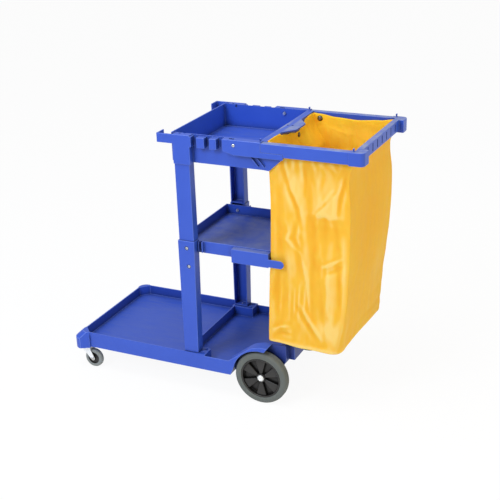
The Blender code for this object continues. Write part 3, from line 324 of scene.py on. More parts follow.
def makeBagCloth():
    # The thread is 0.5 mm in the real cloth and is drawn at 1.6 mm, so that it shows.
    look = bagFinish
    coated = {"IOR": 1.5, "Specular IOR Level": 0.04, "Subsurface Weight": 0.30, "Subsurface Scale": 0.004}
    material, tree, shader = newMaterial("coatedPolyester", coated)
    place = addNode(tree, "TexCoord").outputs["Object"]
    run = addNode(tree, "UVMap", uv_map="clothMap")
    drift = addNode(tree, "TexNoise", {"Vector": place, "Scale": 1 / look["driftPitch"], "Detail": 3.0})
    colour = addNode(tree, "Mix", {0: drift, 6: look["deep"], 7: look["light"]}, data_type="RGBA")
    # The inside, seen past the mouth, is painted a paler, warmer yellow: painted light for the light that
    # gets in at the mouth.
    inside = addNode(tree, "Attribute", attribute_name="insideLight").outputs["Fac"]
    insideLight = addNode(tree, "Math", {0: inside, 1: look["insideLightShare"]}, operation="MULTIPLY")
    colour = addNode(tree, "Mix", {0: insideLight, 6: colour, 7: look["insideLight"]}, data_type="RGBA")
    # Folds: painted highlight on the ridges, weaker on the inside, and painted shade in the hollows.
    fold = addNode(tree, "Attribute", attribute_name="paintedFoldShading").outputs["Fac"]
    ridge = addNode(tree, "MapRange", {"Value": fold, "From Min": 0.50, "From Max": 0.92, "To Max": 0.75})
    valley = addNode(tree, "MapRange", {"Value": fold, "From Min": 0.50, "From Max": 0.10, "To Max": 0.45})
    outside = addNode(tree, "Math", {0: inside, 1: -look["insideHighlightCalm"], 2: 1.0}, operation="MULTIPLY_ADD")
    paleHighlight = addNode(tree, "Math", {0: ridge, 1: outside}, operation="MULTIPLY")
    colour = addNode(tree, "Mix", {0: paleHighlight, 6: colour, 7: look["paleHighlight"]}, data_type="RGBA")
    colour = addNode(tree, "Mix", {0: valley, 6: colour, 7: look["hollow"]}, data_type="RGBA")
    gloss = addNode(tree, "MapRange", {"Value": drift, "To Min": look["low"], "To Max": look["high"]})
    # At scale 1 a band of the wave texture is pi / 10 long.
    scale = math.pi / look["threadPitch"] / 10
    warp = addNode(tree, "TexWave", {"Vector": run, "Scale": scale}, bands_direction="X")
    weft = addNode(tree, "TexWave", {"Vector": run, "Scale": scale}, bands_direction="Y")
    weave = addNode(tree, "Math", {0: warp, 1: weft}, operation="MULTIPLY")
    threads = addNode(tree, "Bump", {"Height": weave, "Strength": 0.25, "Distance": 0.0003})
    pucker = addNode(tree, "TexNoise", {"Vector": place, "Scale": 1 / look["puckerPitch"], "Detail": 4.0})
    puckers = addNode(tree, "Bump", {"Height": pucker, "Strength": 0.5, "Distance": 0.0018,
                                     "Normal": threads})
    # Soft facets, as in cloth that has been folded flat and shaken out, longer than they are wide
    shift = addNode(tree, "VectorMath", {0: pucker.outputs["Color"], 1: [look["facetShift"]] * 3},
                    operation="MULTIPLY")
    wandered = addNode(tree, "VectorMath", {0: place, 1: shift}, operation="ADD")
    tall = addNode(tree, "Mapping", {"Vector": wandered, "Scale": (1, 1, look["facetHeight"])})
    facet = addNode(tree, "TexVoronoi", {"Vector": tall, "Scale": 1 / look["facetPitch"], "Smoothness": 0.35},
                    feature="SMOOTH_F1")
    facets = addNode(tree, "Bump", {"Height": facet, "Strength": 0.55, "Distance": look["facetDepth"],
                                    "Normal": puckers})
    setInputs(tree, shader, {"Base Color": colour, "Roughness": gloss, "Normal": facets})
    return material


# Other finishes: two colours, the pitch of their drift and of their grain, and the shader's fixed values
plainFinishes = {
    # Non-marking thermoplastic rubber: matt grey, slightly dusty on the tread.
    "greyTyre": {"deep": "#555A56", "light": "#666A66", "drift": 0.035, "grain": 0.0012, "bump": 0.30,
                 "low": 0.62, "high": 0.78, "shader": {"IOR": 1.5, "Metallic": 0.0}},
    # The casters' tyres: the same rubber, in a paler grey.
    "casterTyre": {"deep": "#7C807D", "light": "#8C908D", "drift": 0.020, "grain": 0.0010, "bump": 0.25,
                   "low": 0.50, "high": 0.66, "shader": {"IOR": 1.5, "Metallic": 0.0}},
    # Black moulded polypropylene of the hubs: polished mould, near gloss, with a few dull patches, and
    # painted shade in its hollows between the spokes.
    "blackHub": {"deep": "#1D1C1C", "light": "#2E2C2B", "drift": 0.020, "grain": 0.0010, "bump": 0.14,
                 "low": 0.24, "high": 0.36, "hollowReach": 0.030, "hollowShade": 0.10,
                 "shader": {"IOR": 1.49, "Metallic": 0.0}},
    # Bright zinc plate on pressed steel: bluish white, with faint spangle.
    "zincPlate": {"deep": "#EEF1F3", "light": "#FBFCFC", "drift": 0.010, "grain": 0.0016, "bump": 0.12,
                  "low": 0.26, "high": 0.42, "shader": {"Metallic": 0.55}},
    # Zinc plate on screws and nuts: bright, with painted shade in the recess.
    "screwSteel": {"deep": "#CDD0D4", "light": "#E6E8EB", "drift": 0.004, "grain": 0.0006, "bump": 0.12,
                   "low": 0.24, "high": 0.38, "hollowReach": 0.004, "hollowShade": 0.15,
                   "shader": {"Metallic": 1.0}},
    # Drawn steel rod of the axle: bright, with fine lines.
    "drawnSteel": {"deep": "#B4B4B2", "light": "#D2D2D0", "drift": 0.014, "grain": 0.0008, "bump": 0.15,
                   "low": 0.22, "high": 0.36, "shader": {"Metallic": 1.0}},
    # Dull nickel plate on the studs.
    "dullNickel": {"deep": "#66646A", "light": "#8A888E", "drift": 0.005, "grain": 0.0006, "bump": 0.12,
                   "low": 0.30, "high": 0.44, "shader": {"Metallic": 1.0}},
    # Blackened steel eyelets.
    "blackenedSteel": {"deep": "#2B2A2D", "light": "#47454A", "drift": 0.006, "grain": 0.0006, "bump": 0.15,
                       "low": 0.30, "high": 0.45, "shader": {"Metallic": 1.0}},
    # Natural nylon of the axle bushes: milky, slightly yellow.
    "naturalNylon": {"deep": "#D9D5C6", "light": "#E6E3D8", "drift": 0.012, "grain": 0.0009, "bump": 0.12,
                     "low": 0.38, "high": 0.48, "shader": {"IOR": 1.53, "Metallic": 0.0}}}


def makePlainFinish(name):
    look = plainFinishes[name]
    material, tree, shader = newMaterial(name, look["shader"])
    place = addNode(tree, "TexCoord").outputs["Object"]
    drift = addNode(tree, "TexNoise", {"Vector": place, "Scale": 1 / look["drift"], "Detail": 4.0})
    colour = addNode(tree, "Mix", {0: drift, 6: look["deep"], 7: look["light"]}, data_type="RGBA")
    if "hollowReach" in look:
        # Painted shade on the shine too: hollows reflect less. 0.5 is the shader's own specular level.
        share, colour = shadeHollows(tree, colour, look)
        shine = addNode(tree, "Math", {0: share, 1: 0.5}, operation="MULTIPLY")
        setInputs(tree, shader, {"Specular IOR Level": shine})
    gloss = addNode(tree, "MapRange", {"Value": drift, "To Min": look["low"], "To Max": look["high"]})
    grain = addNode(tree, "TexNoise", {"Vector": place, "Scale": 1 / look["grain"], "Detail": 2.0})
    bump = addNode(tree, "Bump", {"Height": grain, "Strength": look["bump"], "Distance": 0.0002})
    setInputs(tree, shader, {"Base Color": colour, "Roughness": gloss, "Normal": bump})
    return material


# Moulded pieces: copies of the CAD solids with every edge rounded as a mould leaves it, by these widths
mouldings = {"base_deck": 0.0016, "middle_shelf": 0.0013, "tool_tray": 0.0013, "bag_frame": 0.0015,
             "lower_post_near": 0.0016, "lower_post_far": 0.0016, "upper_post_near": 0.0016,
             "upper_post_far": 0.0016}
yokeRound = 0.0008
# How much dust and painted light the faces that look up get on each moulding
dustAndLightShares = {"middle_shelf": 0.52, "bag_frame": 0.95}
# Boxes in which a moulding's faces get more of the dust and painted light, and of the painted shade, than
# elsewhere on it: attribute, two corners, share
spots = {"tool_tray": (("dustAndPaintedLight", (0.185, -0.19, 0.955), (0.31, 0.19, 0.98), 0.95),),
         # Painted shade: the rear end in the bag's shadow, the floor, and the front tray's inner walls
         "base_deck": (("paintedShade", (0.205, -0.195, 0.08), (0.32, 0.195, 0.23), 0.70),
                       ("paintedShade", (-0.55, -0.228, 0.11), (0.20, 0.228, 0.116), 0.10),
                       ("paintedShade", (-0.553, -0.20, 0.117), (-0.50, 0.20, 0.1525), 0.34),
                       ("paintedShade", (-0.50, 0.20, 0.117), (0.0, 0.2305, 0.1525), 0.30))}
# Wider mouths of the blind holes in the tray's top. The depth is measured from the pegs' top, 10 mm higher.
drill = {"radius": 0.0042, "depth": 0.019, "sides": 16,
         "places": {"tool_tray": ((-0.0835, 0.207), (-0.0675, 0.201), (-0.0835, -0.207), (-0.0675, -0.201),
                                  (0.2255, 0), (0.2425, 0))}}
rounding = {"sharpDegrees": 24, "roomShare": 0.34, "edgeShare": 0.40, "segments": 2, "mergeDistance": 0.00002,
            "flatDegrees": 0.6, "normalWeight": 60, "cadDegrees": 35}


def lineGap(point, start, end):
    # From a point to the nearest place on an edge
    line = end - start
    share = max(0, min(1, (point - start).dot(line) / line.length_squared))
    return (point - start - line * share).length


def edgeRoom(edge):
    # How much flat there is beside an edge, so that its rounding never runs into a neighbour.
    room = min(other.calc_length() * rounding["edgeShare"] / rounding["roomShare"]
               for vert in edge.verts for other in vert.link_edges if other != edge)
    first, second = (vert.co for vert in edge.verts)
    for face in edge.link_faces:
        for vert in face.verts:
            if vert not in edge.verts:
                room = min(room, lineGap(vert.co, first, second))
        for other in face.edges:
            if other != edge and not set(other.verts) & set(edge.verts):
                start, end = (vert.co for vert in other.verts)
                room = min(room, lineGap(first, start, end), lineGap(second, start, end))
    return room


def markFaces(mesh, name, values):
    mesh.attributes.new(name, "FLOAT", "FACE").data.foreach_set("value", values)


def addMoulding(nodeName, width, material):
    piece = copyPiece(nodes[nodeName])
    mesh = piece.data
    piece.parent = None
    for key in list(piece.keys()):
        del piece[key]
    editWhole(piece)
    bpy.ops.mesh.remove_doubles(threshold=rounding["mergeDistance"])
    bpy.ops.mesh.dissolve_limited(angle_limit=math.radians(rounding["flatDegrees"]))
    leaveEdit()
    for along, across in drill["places"].get(nodeName, ()):
        bpy.ops.mesh.primitive_cylinder_add(vertices=drill["sides"], radius=drill["radius"],
                                            depth=2 * drill["depth"],
                                            location=(along, across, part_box(nodeName)[1].z))
        combine(piece, "DIFFERENCE", bpy.context.object)
    form = bmesh.new()
    form.from_mesh(mesh)
    weights = form.edges.layers.float.new("bevel_weight_edge")
    for edge in form.edges:
        if len(edge.link_faces) == 2 and edge.calc_face_angle(0) > math.radians(rounding["sharpDegrees"]):
            edge[weights] = min(1, edgeRoom(edge) * rounding["roomShare"] / width)
    form.to_mesh(mesh)
    form.free()
    # The bevel puts its faces in the second material slot, from where they are marked as edges with wear and
    # a painted highlight.
    mesh.materials.clear()
    for _ in range(2):
        mesh.materials.append(material)
    mesh.polygons.foreach_set("material_index", [0] * len(mesh.polygons))
    applyModifier(piece, "BEVEL", limit_method="WEIGHT", width=width, segments=rounding["segments"],
                  material=1, use_clamp_overlap=False, harden_normals=False, miter_outer="MITER_SHARP")
    markFaces(mesh, "edgeWearAndHighlight", [float(polygon.material_index) for polygon in mesh.polygons])
    mesh.polygons.foreach_set("material_index", [0] * len(mesh.polygons))
    # Each face gets its share of dust with painted light, and of painted shade.
    for name, share in (("dustAndPaintedLight", dustAndLightShares.get(nodeName, 0.0)), ("paintedShade", 0.0)):
        shares = [share] * len(mesh.polygons)
        for kind, low, high, spot in spots.get(nodeName, ()):
            for polygon in mesh.polygons:
                if kind == name and all(low[axis] < polygon.center[axis] < high[axis] for axis in range(3)):
                    shares[polygon.index] = spot
        markFaces(mesh, name, shares)
    smoothPiece(piece, rounding["sharpDegrees"])
    applyModifier(piece, "WEIGHTED_NORMAL", keep_sharp=True, weight=rounding["normalWeight"])
    fitNode(piece, nodeName, "_moulding", material)


# Turned pieces: their sections are (radius, height) points, and they are built ring by ring about Z
smallSides = 32


def mirrored(section):
    return list(section) + [(radius, -height) for radius, height in reversed(section)]


def raised(section, rise):
    return [(radius, height + rise) for radius, height in section]


def turnedPiece(section, closed=True, count=smallSides):
    # A closed section makes a ring. An open one makes a solid with flat faces in its first and last ring.
    points = list(section) + [section[0]] if closed else list(section)
    radius, height = points[0]
    bpy.ops.mesh.primitive_circle_add(vertices=count, radius=radius, location=(0, 0, height),
                                      fill_type="NOTHING" if closed else "NGON")
    piece = bpy.context.object
    applyPlace(piece)
    editWhole(piece)
    for nextRadius, nextHeight in points[1:]:
        bpy.ops.mesh.extrude_edges_move(TRANSFORM_OT_translate={"value": (0, 0, nextHeight - height)})
        share = nextRadius / radius
        bpy.ops.transform.resize(value=(share, share, 1), center_override=(0, 0, 0))
        radius, height = nextRadius, nextHeight
    if not closed:
        bpy.ops.mesh.edge_face_add()
    bpy.ops.mesh.select_all(action="SELECT")
    bpy.ops.mesh.remove_doubles(threshold=rounding["mergeDistance"])
    bpy.ops.mesh.normals_make_consistent(inside=False)
    leaveEdit()
    return piece


def fitTurned(piece, nodeName, suffix, direction, place, degrees, material):
    # Turns the piece's own Z along a direction and moves it to its place.
    piece.rotation_euler = direction.to_track_quat("Z", "Y").to_euler()
    piece.location = place
    applyPlace(piece)
    smoothPiece(piece, degrees)
    fitNode(piece, nodeName, suffix, material)


# Rear wheels
rearWheel = {
    "sides": 96, "tyreDegrees": 50, "hubDegrees": 35,
    # Half of the tyre from its bore: a flat wall, a round shoulder and one of the tread's two shallow grooves
    "tyre": ((0.0765, 0.0158), (0.0780, 0.0176), (0.0805, 0.0180), (0.0880, 0.0180), (0.0890, 0.0180),
             (0.0940, 0.0176), (0.0965, 0.0164), (0.0985, 0.0138), (0.0996, 0.0102), (0.1000, 0.0070),
             (0.1000, 0.0052), (0.0991, 0.0046), (0.0991, 0.0034), (0.1000, 0.0028)),
    # The hub: its boss inside the wheel, half of its web and rim, and its boss outside
    "bossIn": ((0.0096, -0.0205), (0.0164, -0.0205), (0.0170, -0.0199)),
    "web": ((0.0174, -0.0030), (0.0184, -0.0020), (0.0686, -0.0020), (0.0700, -0.0034), (0.0704, -0.0155),
            (0.0712, -0.0165), (0.0756, -0.0165), (0.0762, -0.0159)),
    "bossOut": ((0.0170, 0.0137), (0.0162, 0.0145), (0.0096, 0.0145)),
    # Spokes that widen from the boss to the rim
    "spokes": 6, "spokeMiddle": 0.0435, "spokeLength": 0.0546, "spokeHeight": 0.024, "spokeRoot": 0.010,
    "spokeTip": 0.040, "spokeRound": 0.0018, "spokeSegments": 3}


def addRearTyre(name, outward, material):
    tyre = "rear_tyre_" + name
    piece = turnedPiece(mirrored(rearWheel["tyre"]), count=rearWheel["sides"])
    fitTurned(piece, tyre, "_moulded", outward, nodeCentre(tyre), rearWheel["tyreDegrees"], material)


def addRearHub(name, outward, material):
    data = rearWheel
    section = list(data["bossIn"]) + mirrored(data["web"]) + list(data["bossOut"])
    hub = turnedPiece(section, count=data["sides"])
    for index in range(data["spokes"]):
        bpy.ops.mesh.primitive_cube_add(size=1, location=(data["spokeMiddle"], 0, 0))
        spoke = bpy.context.object
        spoke.scale = (data["spokeLength"], data["spokeRoot"], data["spokeHeight"])
        applyPlace(spoke)
        for vert in spoke.data.vertices:
            if vert.co.x > data["spokeMiddle"]:
                vert.co.y *= data["spokeTip"] / data["spokeRoot"]
        editWhole(spoke)
        bpy.ops.mesh.bevel(offset=data["spokeRound"], segments=data["spokeSegments"], affect="EDGES")
        leaveEdit()
        spoke.rotation_euler = (0, 0, index * 2 * math.pi / data["spokes"] + math.pi / 2)
        applyPlace(spoke)
        combine(hub, "UNION", spoke)
    place = nodeCentre("rear_tyre_" + name)
    fitTurned(hub, "rear_hub_" + name, "_moulded", outward, place, data["hubDegrees"], material)


# Axle caps. The crown is given as shares of the cap's radius and drops below its top: recess, dome and rim.
axleCap = {"crown": ((0.30, 0.0016), (0.36, 0.0006), (0.42, 0), (0.50, 0.0001), (0.62, 0.0008),
                     (0.80, 0.0021), (0.88, 0.0036), (0.90, 0.0044), (0.97, 0.0047), (1, 0.0053)),
           "edge": 0.0004, "wellShare": 0.58, "wellTopShare": 0.56, "wall": 0.0026, "sides": 48,
           "degrees": 50}


def addAxleCap(name, outward, material):
    cap, edge = "axle_cap_" + name, axleCap["edge"]
    rise = nodeSpan(cap, outward)
    radius = nodeSpan(cap, Vector((1, 0, 0))) / 2
    section = [(radius * share, rise - drop) for share, drop in axleCap["crown"]]
    section += [(radius, edge), (radius - edge, 0), (radius * axleCap["wellShare"], 0),
                (radius * axleCap["wellTopShare"], rise - axleCap["wall"])]
    piece = turnedPiece(section, False, axleCap["sides"])
    fitTurned(piece, cap, "_pressed", outward, nodeEnd(cap, -outward), axleCap["degrees"], material)


# The axle, and the bushes and washers on it: node, ending of the piece's name and rounding
axleForm = {"radius": 0.0060, "endRadius": 0.0052, "chamfer": 0.0008, "bore": 0.0063, "degrees": 35,
            "rings": (("wheel_bush", "_moulded", 0.0005), ("axle_washer", "_pressed", 0.0003))}


def addAxleParts(steel, nylon):
    across = Vector((0, 1, 0))
    half = nodeSpan("rear_axle", across) / 2
    section = ((axleForm["endRadius"], half), (axleForm["radius"], half - axleForm["chamfer"]))
    axle = turnedPiece(mirrored(section), False)
    fitTurned(axle, "rear_axle", "_drawn", across, nodeCentre("rear_axle"), axleForm["degrees"], steel)
    for name, outward in sides:
        for (prefix, suffix, edge), material in zip(axleForm["rings"], (nylon, steel)):
            ring = "%s_%s" % (prefix, name)
            inner, outer = axleForm["bore"], nodeSpan(ring, Vector((1, 0, 0))) / 2
            half = nodeSpan(ring, across) / 2
            section = [(inner, -half), (outer - edge, -half), (outer, edge - half), (outer, half - edge),
                       (outer - edge, half), (inner + edge, half), (inner, half - edge)]
            piece = turnedPiece(section)
            fitTurned(piece, ring, suffix, outward, nodeCentre(ring), axleForm["degrees"], material)


# Screws and bolts: one form, copied, lengthened and turned to each place
screwForm = {"section": ((0.002475, 0.0025), (0.0044, 0.0020), (0.005225, 0.0014), (0.0055, 0.0008),
                         (0.0055, 0.0003), (0.0052, 0), (0.0034, 0), (0.0030, -0.0004), (0.0030, -0.0016),
                         (0.0025, -0.0020)),
             "headHeight": 0.0026, "stub": 0.0020, "stretchBelow": -0.0012,
             "recess": (0.0052, 0.0011, 0.0034), "degrees": 32}
screwWays = {"post_bolt": "out", "post_screw": "out", "frame_bolt": "out", "socket_screw": "front",
             "foot_screw": "down"}


def makeScrewForm():
    piece = turnedPiece(screwForm["section"], False)
    for turn in (0, math.pi / 2):
        bpy.ops.mesh.primitive_cube_add(size=1, location=(0, 0, screwForm["headHeight"]))
        cutter = bpy.context.object
        cutter.scale = screwForm["recess"]
        cutter.rotation_euler = (0, 0, turn)
        applyPlace(cutter)
        combine(piece, "DIFFERENCE", cutter)
    return piece


def addScrews(material):
    form = makeScrewForm()
    for prefix, way in screwWays.items():
        for name, outward in sides:
            screw = "%s_%s" % (prefix, name)
            direction = {"out": outward, "front": Vector((-1, 0, 0)), "down": -upward}[way]
            length = nodeSpan(screw, direction) - screwForm["headHeight"]
            piece = copyPiece(form)
            for vert in piece.data.vertices:
                if vert.co.z < screwForm["stretchBelow"]:
                    vert.co.z -= length - screwForm["stub"]
            seat = nodeEnd(screw, direction) - direction * screwForm["headHeight"]
            fitTurned(piece, screw, "_headed", direction, seat, screwForm["degrees"], material)
    bpy.data.objects.remove(form)


# Nuts: hexagons with chamfered corners
nutForm = {"corners": 6, "degrees": 25, "bore": 0.0031, "chamfer": 0.0007, "over": 0.0002, "faceShare": 0.86,
           "postRadius": 0.0062, "postHeight": 0.0045, "casterRadius": 0.0065, "casterHeight": 0.0040}


def makeNutForm(radius, height):
    over = nutForm["over"]
    bpy.ops.mesh.primitive_cylinder_add(vertices=nutForm["corners"], radius=radius, depth=height)
    piece = bpy.context.object
    chamfered = mirrored(((radius * nutForm["faceShare"], height / 2 + over),
                          (radius + over, height / 2 - nutForm["chamfer"])))
    combine(piece, "INTERSECT", turnedPiece(chamfered, False))
    combine(piece, "DIFFERENCE", turnedPiece(mirrored(((nutForm["bore"], height),)), False))
    return piece


def addNuts(material, casterMaterial):
    for prefix, kind, finish in (("post_nut", "post", material), ("frame_nut", "post", material),
                                 ("caster_nut", "caster", casterMaterial)):
        form = makeNutForm(nutForm[kind + "Radius"], nutForm[kind + "Height"])
        for name, outward in sides:
            nut = "%s_%s" % (prefix, name)
            fitTurned(copyPiece(form), nut, "_hex", outward, nodeCentre(nut), nutForm["degrees"], finish)
        bpy.data.objects.remove(form)


# Eyelets of rolled steel, blackened, and the studs through them, with a dimple in a domed head
hangerForm = {"eyelet": ((0.0050, -0.0006), (0.0050, 0.0002), (0.0054, 0.0006), (0.0064, 0.00085),
                         (0.0080, 0.0008), (0.0092, 0.00045), (0.0099, -0.0001), (0.0100, -0.0006)),
              "stud": ((0.00154, 0.0056), (0.0022, 0.0063), (0.0027, 0.0066), (0.00468, 0.0065),
                       (0.00663, 0.0060), (0.007566, 0.0053), (0.0078, 0.0049), (0.0074, 0.0046),
                       (0.0036, 0.0046), (0.0036, -0.0051), (0.0032, -0.0055)),
              "grip": 0.0055, "degrees": 50,
              "names": ("tray", "front_near", "front_far", "rear_near", "rear_far")}


def hangerDirection(nodeName):
    # Into the bag from the face that holds an eyelet.
    low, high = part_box(nodeName)
    middle = (low + high) / 2
    if (high - low).x < (high - low).y:
        return Vector((1 if middle.x < (bag["start"] + bag["end"]) / 2 - centre else -1, 0, 0))
    return Vector((0, 1 if middle.y < 0 else -1, 0))


def addEyelets(ringMaterial, studMaterial):
    degrees = hangerForm["degrees"]
    ringForm = turnedPiece(hangerForm["eyelet"])
    studForm = turnedPiece(hangerForm["stud"], False)
    for name in hangerForm["names"]:
        eyelet, stud = "bag_eyelet_" + name, "bag_stud_" + name
        direction = hangerDirection(eyelet)
        place = nodeCentre(eyelet)
        fitTurned(copyPiece(ringForm), eyelet, "_rolled", direction, place, degrees, ringMaterial)
        place = nodeEnd(stud, -direction) + direction * hangerForm["grip"]
        fitTurned(copyPiece(studForm), stud, "_domed", direction, place, degrees, studMaterial)
    bpy.data.objects.remove(ringForm)
    bpy.data.objects.remove(studForm)


# Casters: a pressed zinc yoke on a ball race, with a grey tyre on a black hub
caster = {
    "sides": 56, "degrees": 40, "tyreDegrees": 50,
    # Half of the tyre and of the hub, each from its bore
    "tyre": ((0.0240, 0.0088), (0.0252, 0.0098), (0.0305, 0.0100), (0.0333, 0.0095), (0.0355, 0.0081),
             (0.0368, 0.0060), (0.0375, 0.0035)),
    "hub": ((0.0034, 0.0122), (0.0074, 0.0122), (0.0080, 0.0116), (0.0086, 0.0063), (0.0100, 0.0055),
            (0.0187, 0.0055), (0.0201, 0.0063), (0.0211, 0.0091), (0.0219, 0.0095), (0.0232, 0.0095),
            (0.0237, 0.0090)),
    # The bolt's domed head over its seat, and its end
    "boltHead": ((0.00325, 0.0030), (0.00533, 0.0022), (0.006305, 0.0010), (0.0065, 0.0003), (0.0062, 0),
                 (0.0030, 0)),
    "boltEnd": ((0.0030, 0.0006), (0.0024, 0)), "boltCrown": 0.0032,
    # The stem's top, its neck through the yoke's plate and its riveted foot
    "stemTop": ((0.0063, 0), (0.0075, -0.0012)), "stemRadius": 0.0075, "neck": 0.0040, "plateGap": 0.0003,
    "stemFoot": ((0.0040, 0.0035), (0.0066, 0.0035), (0.0070, 0.0029), (0.0066, 0.0010), (0.0050, 0.0002)),
    # The race's inside and outside, down from its top
    "raceInside": ((0.0078, -0.0020), (0.0140, -0.0020), (0.0152, -0.0028)),
    "raceOutside": ((0.0170, -0.0012), (0.0164, -0.0003), (0.0154, 0), (0.0078, 0)),
    "raceInner": 0.0152, "raceOuter": 0.0170,
    # The cage and its balls
    "cage": ((0.0101, -0.0007), (0.0129, -0.0007), (0.0131, 0.0), (0.0129, 0.0007), (0.0101, 0.0007),
             (0.0099, 0.0)),
    "balls": 6, "ballRadius": 0.0020, "ballCircle": 0.0115, "ballSegments": 14, "ballRings": 8}


def makeBalls():
    pieces = [turnedPiece(caster["cage"])]
    for index in range(caster["balls"]):
        turn = index * 2 * math.pi / caster["balls"]
        place = (caster["ballCircle"] * math.cos(turn), caster["ballCircle"] * math.sin(turn), 0)
        bpy.ops.mesh.primitive_uv_sphere_add(segments=caster["ballSegments"], ring_count=caster["ballRings"],
                                             radius=caster["ballRadius"], location=place)
        pieces.append(bpy.context.object)
        applyPlace(pieces[-1])
    selectOnly(pieces[0])
    for piece in pieces[1:]:
        piece.select_set(True)
    bpy.ops.object.join()
    return bpy.context.object


def addCaster(name, outward, tyre, hub, zinc, steel):
    data, degrees = caster, caster["degrees"]
    node = {kind: "caster_%s_%s" % (kind, name) for kind in ("tyre", "hub", "bolt", "stem", "race", "bearing",
                                                             "yoke")}
    wheel = nodeCentre(node["tyre"])
    piece = turnedPiece(mirrored(data["tyre"]), count=data["sides"])
    fitTurned(piece, node["tyre"], "_moulded", outward, wheel, data["tyreDegrees"], tyre)
    piece = turnedPiece(mirrored(data["hub"]), count=data["sides"])
    fitTurned(piece, node["hub"], "_moulded", outward, wheel, degrees, hub)

    seat = nodeEnd(node["bolt"], outward) - outward * data["boltCrown"]
    length = nodeSpan(node["bolt"], outward) - data["boltCrown"]
    piece = turnedPiece(list(data["boltHead"]) + raised(data["boltEnd"], -length), False)
    fitTurned(piece, node["bolt"], "_domed", outward, seat, degrees, steel)

    foot = nodeEnd(node["stem"], -upward)
    collar = nodeEnd(node["yoke"], upward).z + data["plateGap"] - foot.z
    section = raised(data["stemTop"], nodeSpan(node["stem"], upward))
    section += [(data["stemRadius"], collar), (data["neck"], collar), *data["stemFoot"]]
    fitTurned(turnedPiece(section, False), node["stem"], "_turned", upward, foot, degrees, steel)

    depth = nodeSpan(node["race"], upward)
    section = [*data["raceInside"], (data["raceInner"], -depth), (data["raceOuter"], -depth)]
    section += data["raceOutside"]
    top = nodeEnd(node["race"], upward)
    fitTurned(turnedPiece(section), node["race"], "_pressed", upward, top, degrees, zinc)
    fitTurned(makeBalls(), node["bearing"], "_balls", upward, nodeCentre(node["bearing"]), degrees, steel)


# Waste bag: a lofted sack of coated cloth. A cloth simulation lets it sag, then its creases are laid in.
centre = 0.5555                  # from the rim on the caster end to the middle of the cart
bag = {"start": 0.7943, "end": 1.0977, "half": 0.2032, "corner": 0.012, "bottom": 0.240, "top": 0.965,
       "alongCells": 27, "acrossCells": 37, "rows": 66, "startLean": 0.0163, "endLean": 0.0527,
       "sideInset": 0.0032, "floorSag": 0.004, "hemRows": 2, "hemFrom": 0.895, "hemThickness": 0.0020,
       "wallWeight": 0.5, "leastShare": 0.5,
       # Shares of the height, and how far the tray's end, the bag end and the sides lean in at each
       "heights": (0.0, 0.138, 0.345, 0.552, 0.731, 0.897, 0.955, 1.0),
       "starts": (1.0, 0.69, 0.33, 0.02, -0.17, 0.0, 0.0, 0.0),
       "ends": (1.0, 0.70, 0.43, 0.26, 0.22, 0.30, 0.0, 0.0),
       "insets": (1.0, 1.0, 1.0, 1.0, 1.0, 1.0, 0.0, 0.0)}
# How firmly the top rows are held, the furthest that a point moves, and the share of its move that it keeps,
# on the seams and on the four walls
bagSim = {"frames": 26, "holds": (1.0, 1.0, 0.6, 0.3), "cap": 0.010, "edgeHold": 0.045, "edgeShare": 0.10,
          "wallShares": (0.55, 0.18, 0.3, 0.4),
          "cloth": {"quality": 6, "mass": 0.25, "tension_stiffness": 22, "compression_stiffness": 22,
                    "shear_stiffness": 11, "bending_stiffness": 1.2, "air_damping": 2.0,
                    "vertex_group_mass": "held", "shrink_min": -0.018, "use_pressure": True,
                    "uniform_pressure_force": 0.35}}
# Small waves that start the folds: their heights on the four walls, how dense they are and where they fade
seed = {"heights": (0.0030, 0.0008, 0.0030, 0.0030), "around": 24, "wallStep": 7.3, "up": 4.4, "level": 4.1,
        "calmCells": 4, "calmTop": 12, "calmFoot": 14}
# Room for the cloth between the frame, the tray, the shelf and the base, as half widths, ends and heights
room = {"half": 0.2070, "railInset": 0.0040, "railFrom": 0.915, "railEase": 0.012, "wingHalf": 0.2036,
        "wingFrom": 0.868, "wingEnd": 0.862, "trayEnd": 0.7946, "trayFrom": 0.862, "shelfEnd": 0.7914,
        "shelfLow": 0.525, "shelfHigh": 0.595, "openEnd": 0.770, "frameEnd": 1.0974, "frameFrom": 0.925,
        "rearEnd": 1.104, "deck": 0.2312, "ledge": 0.2205}

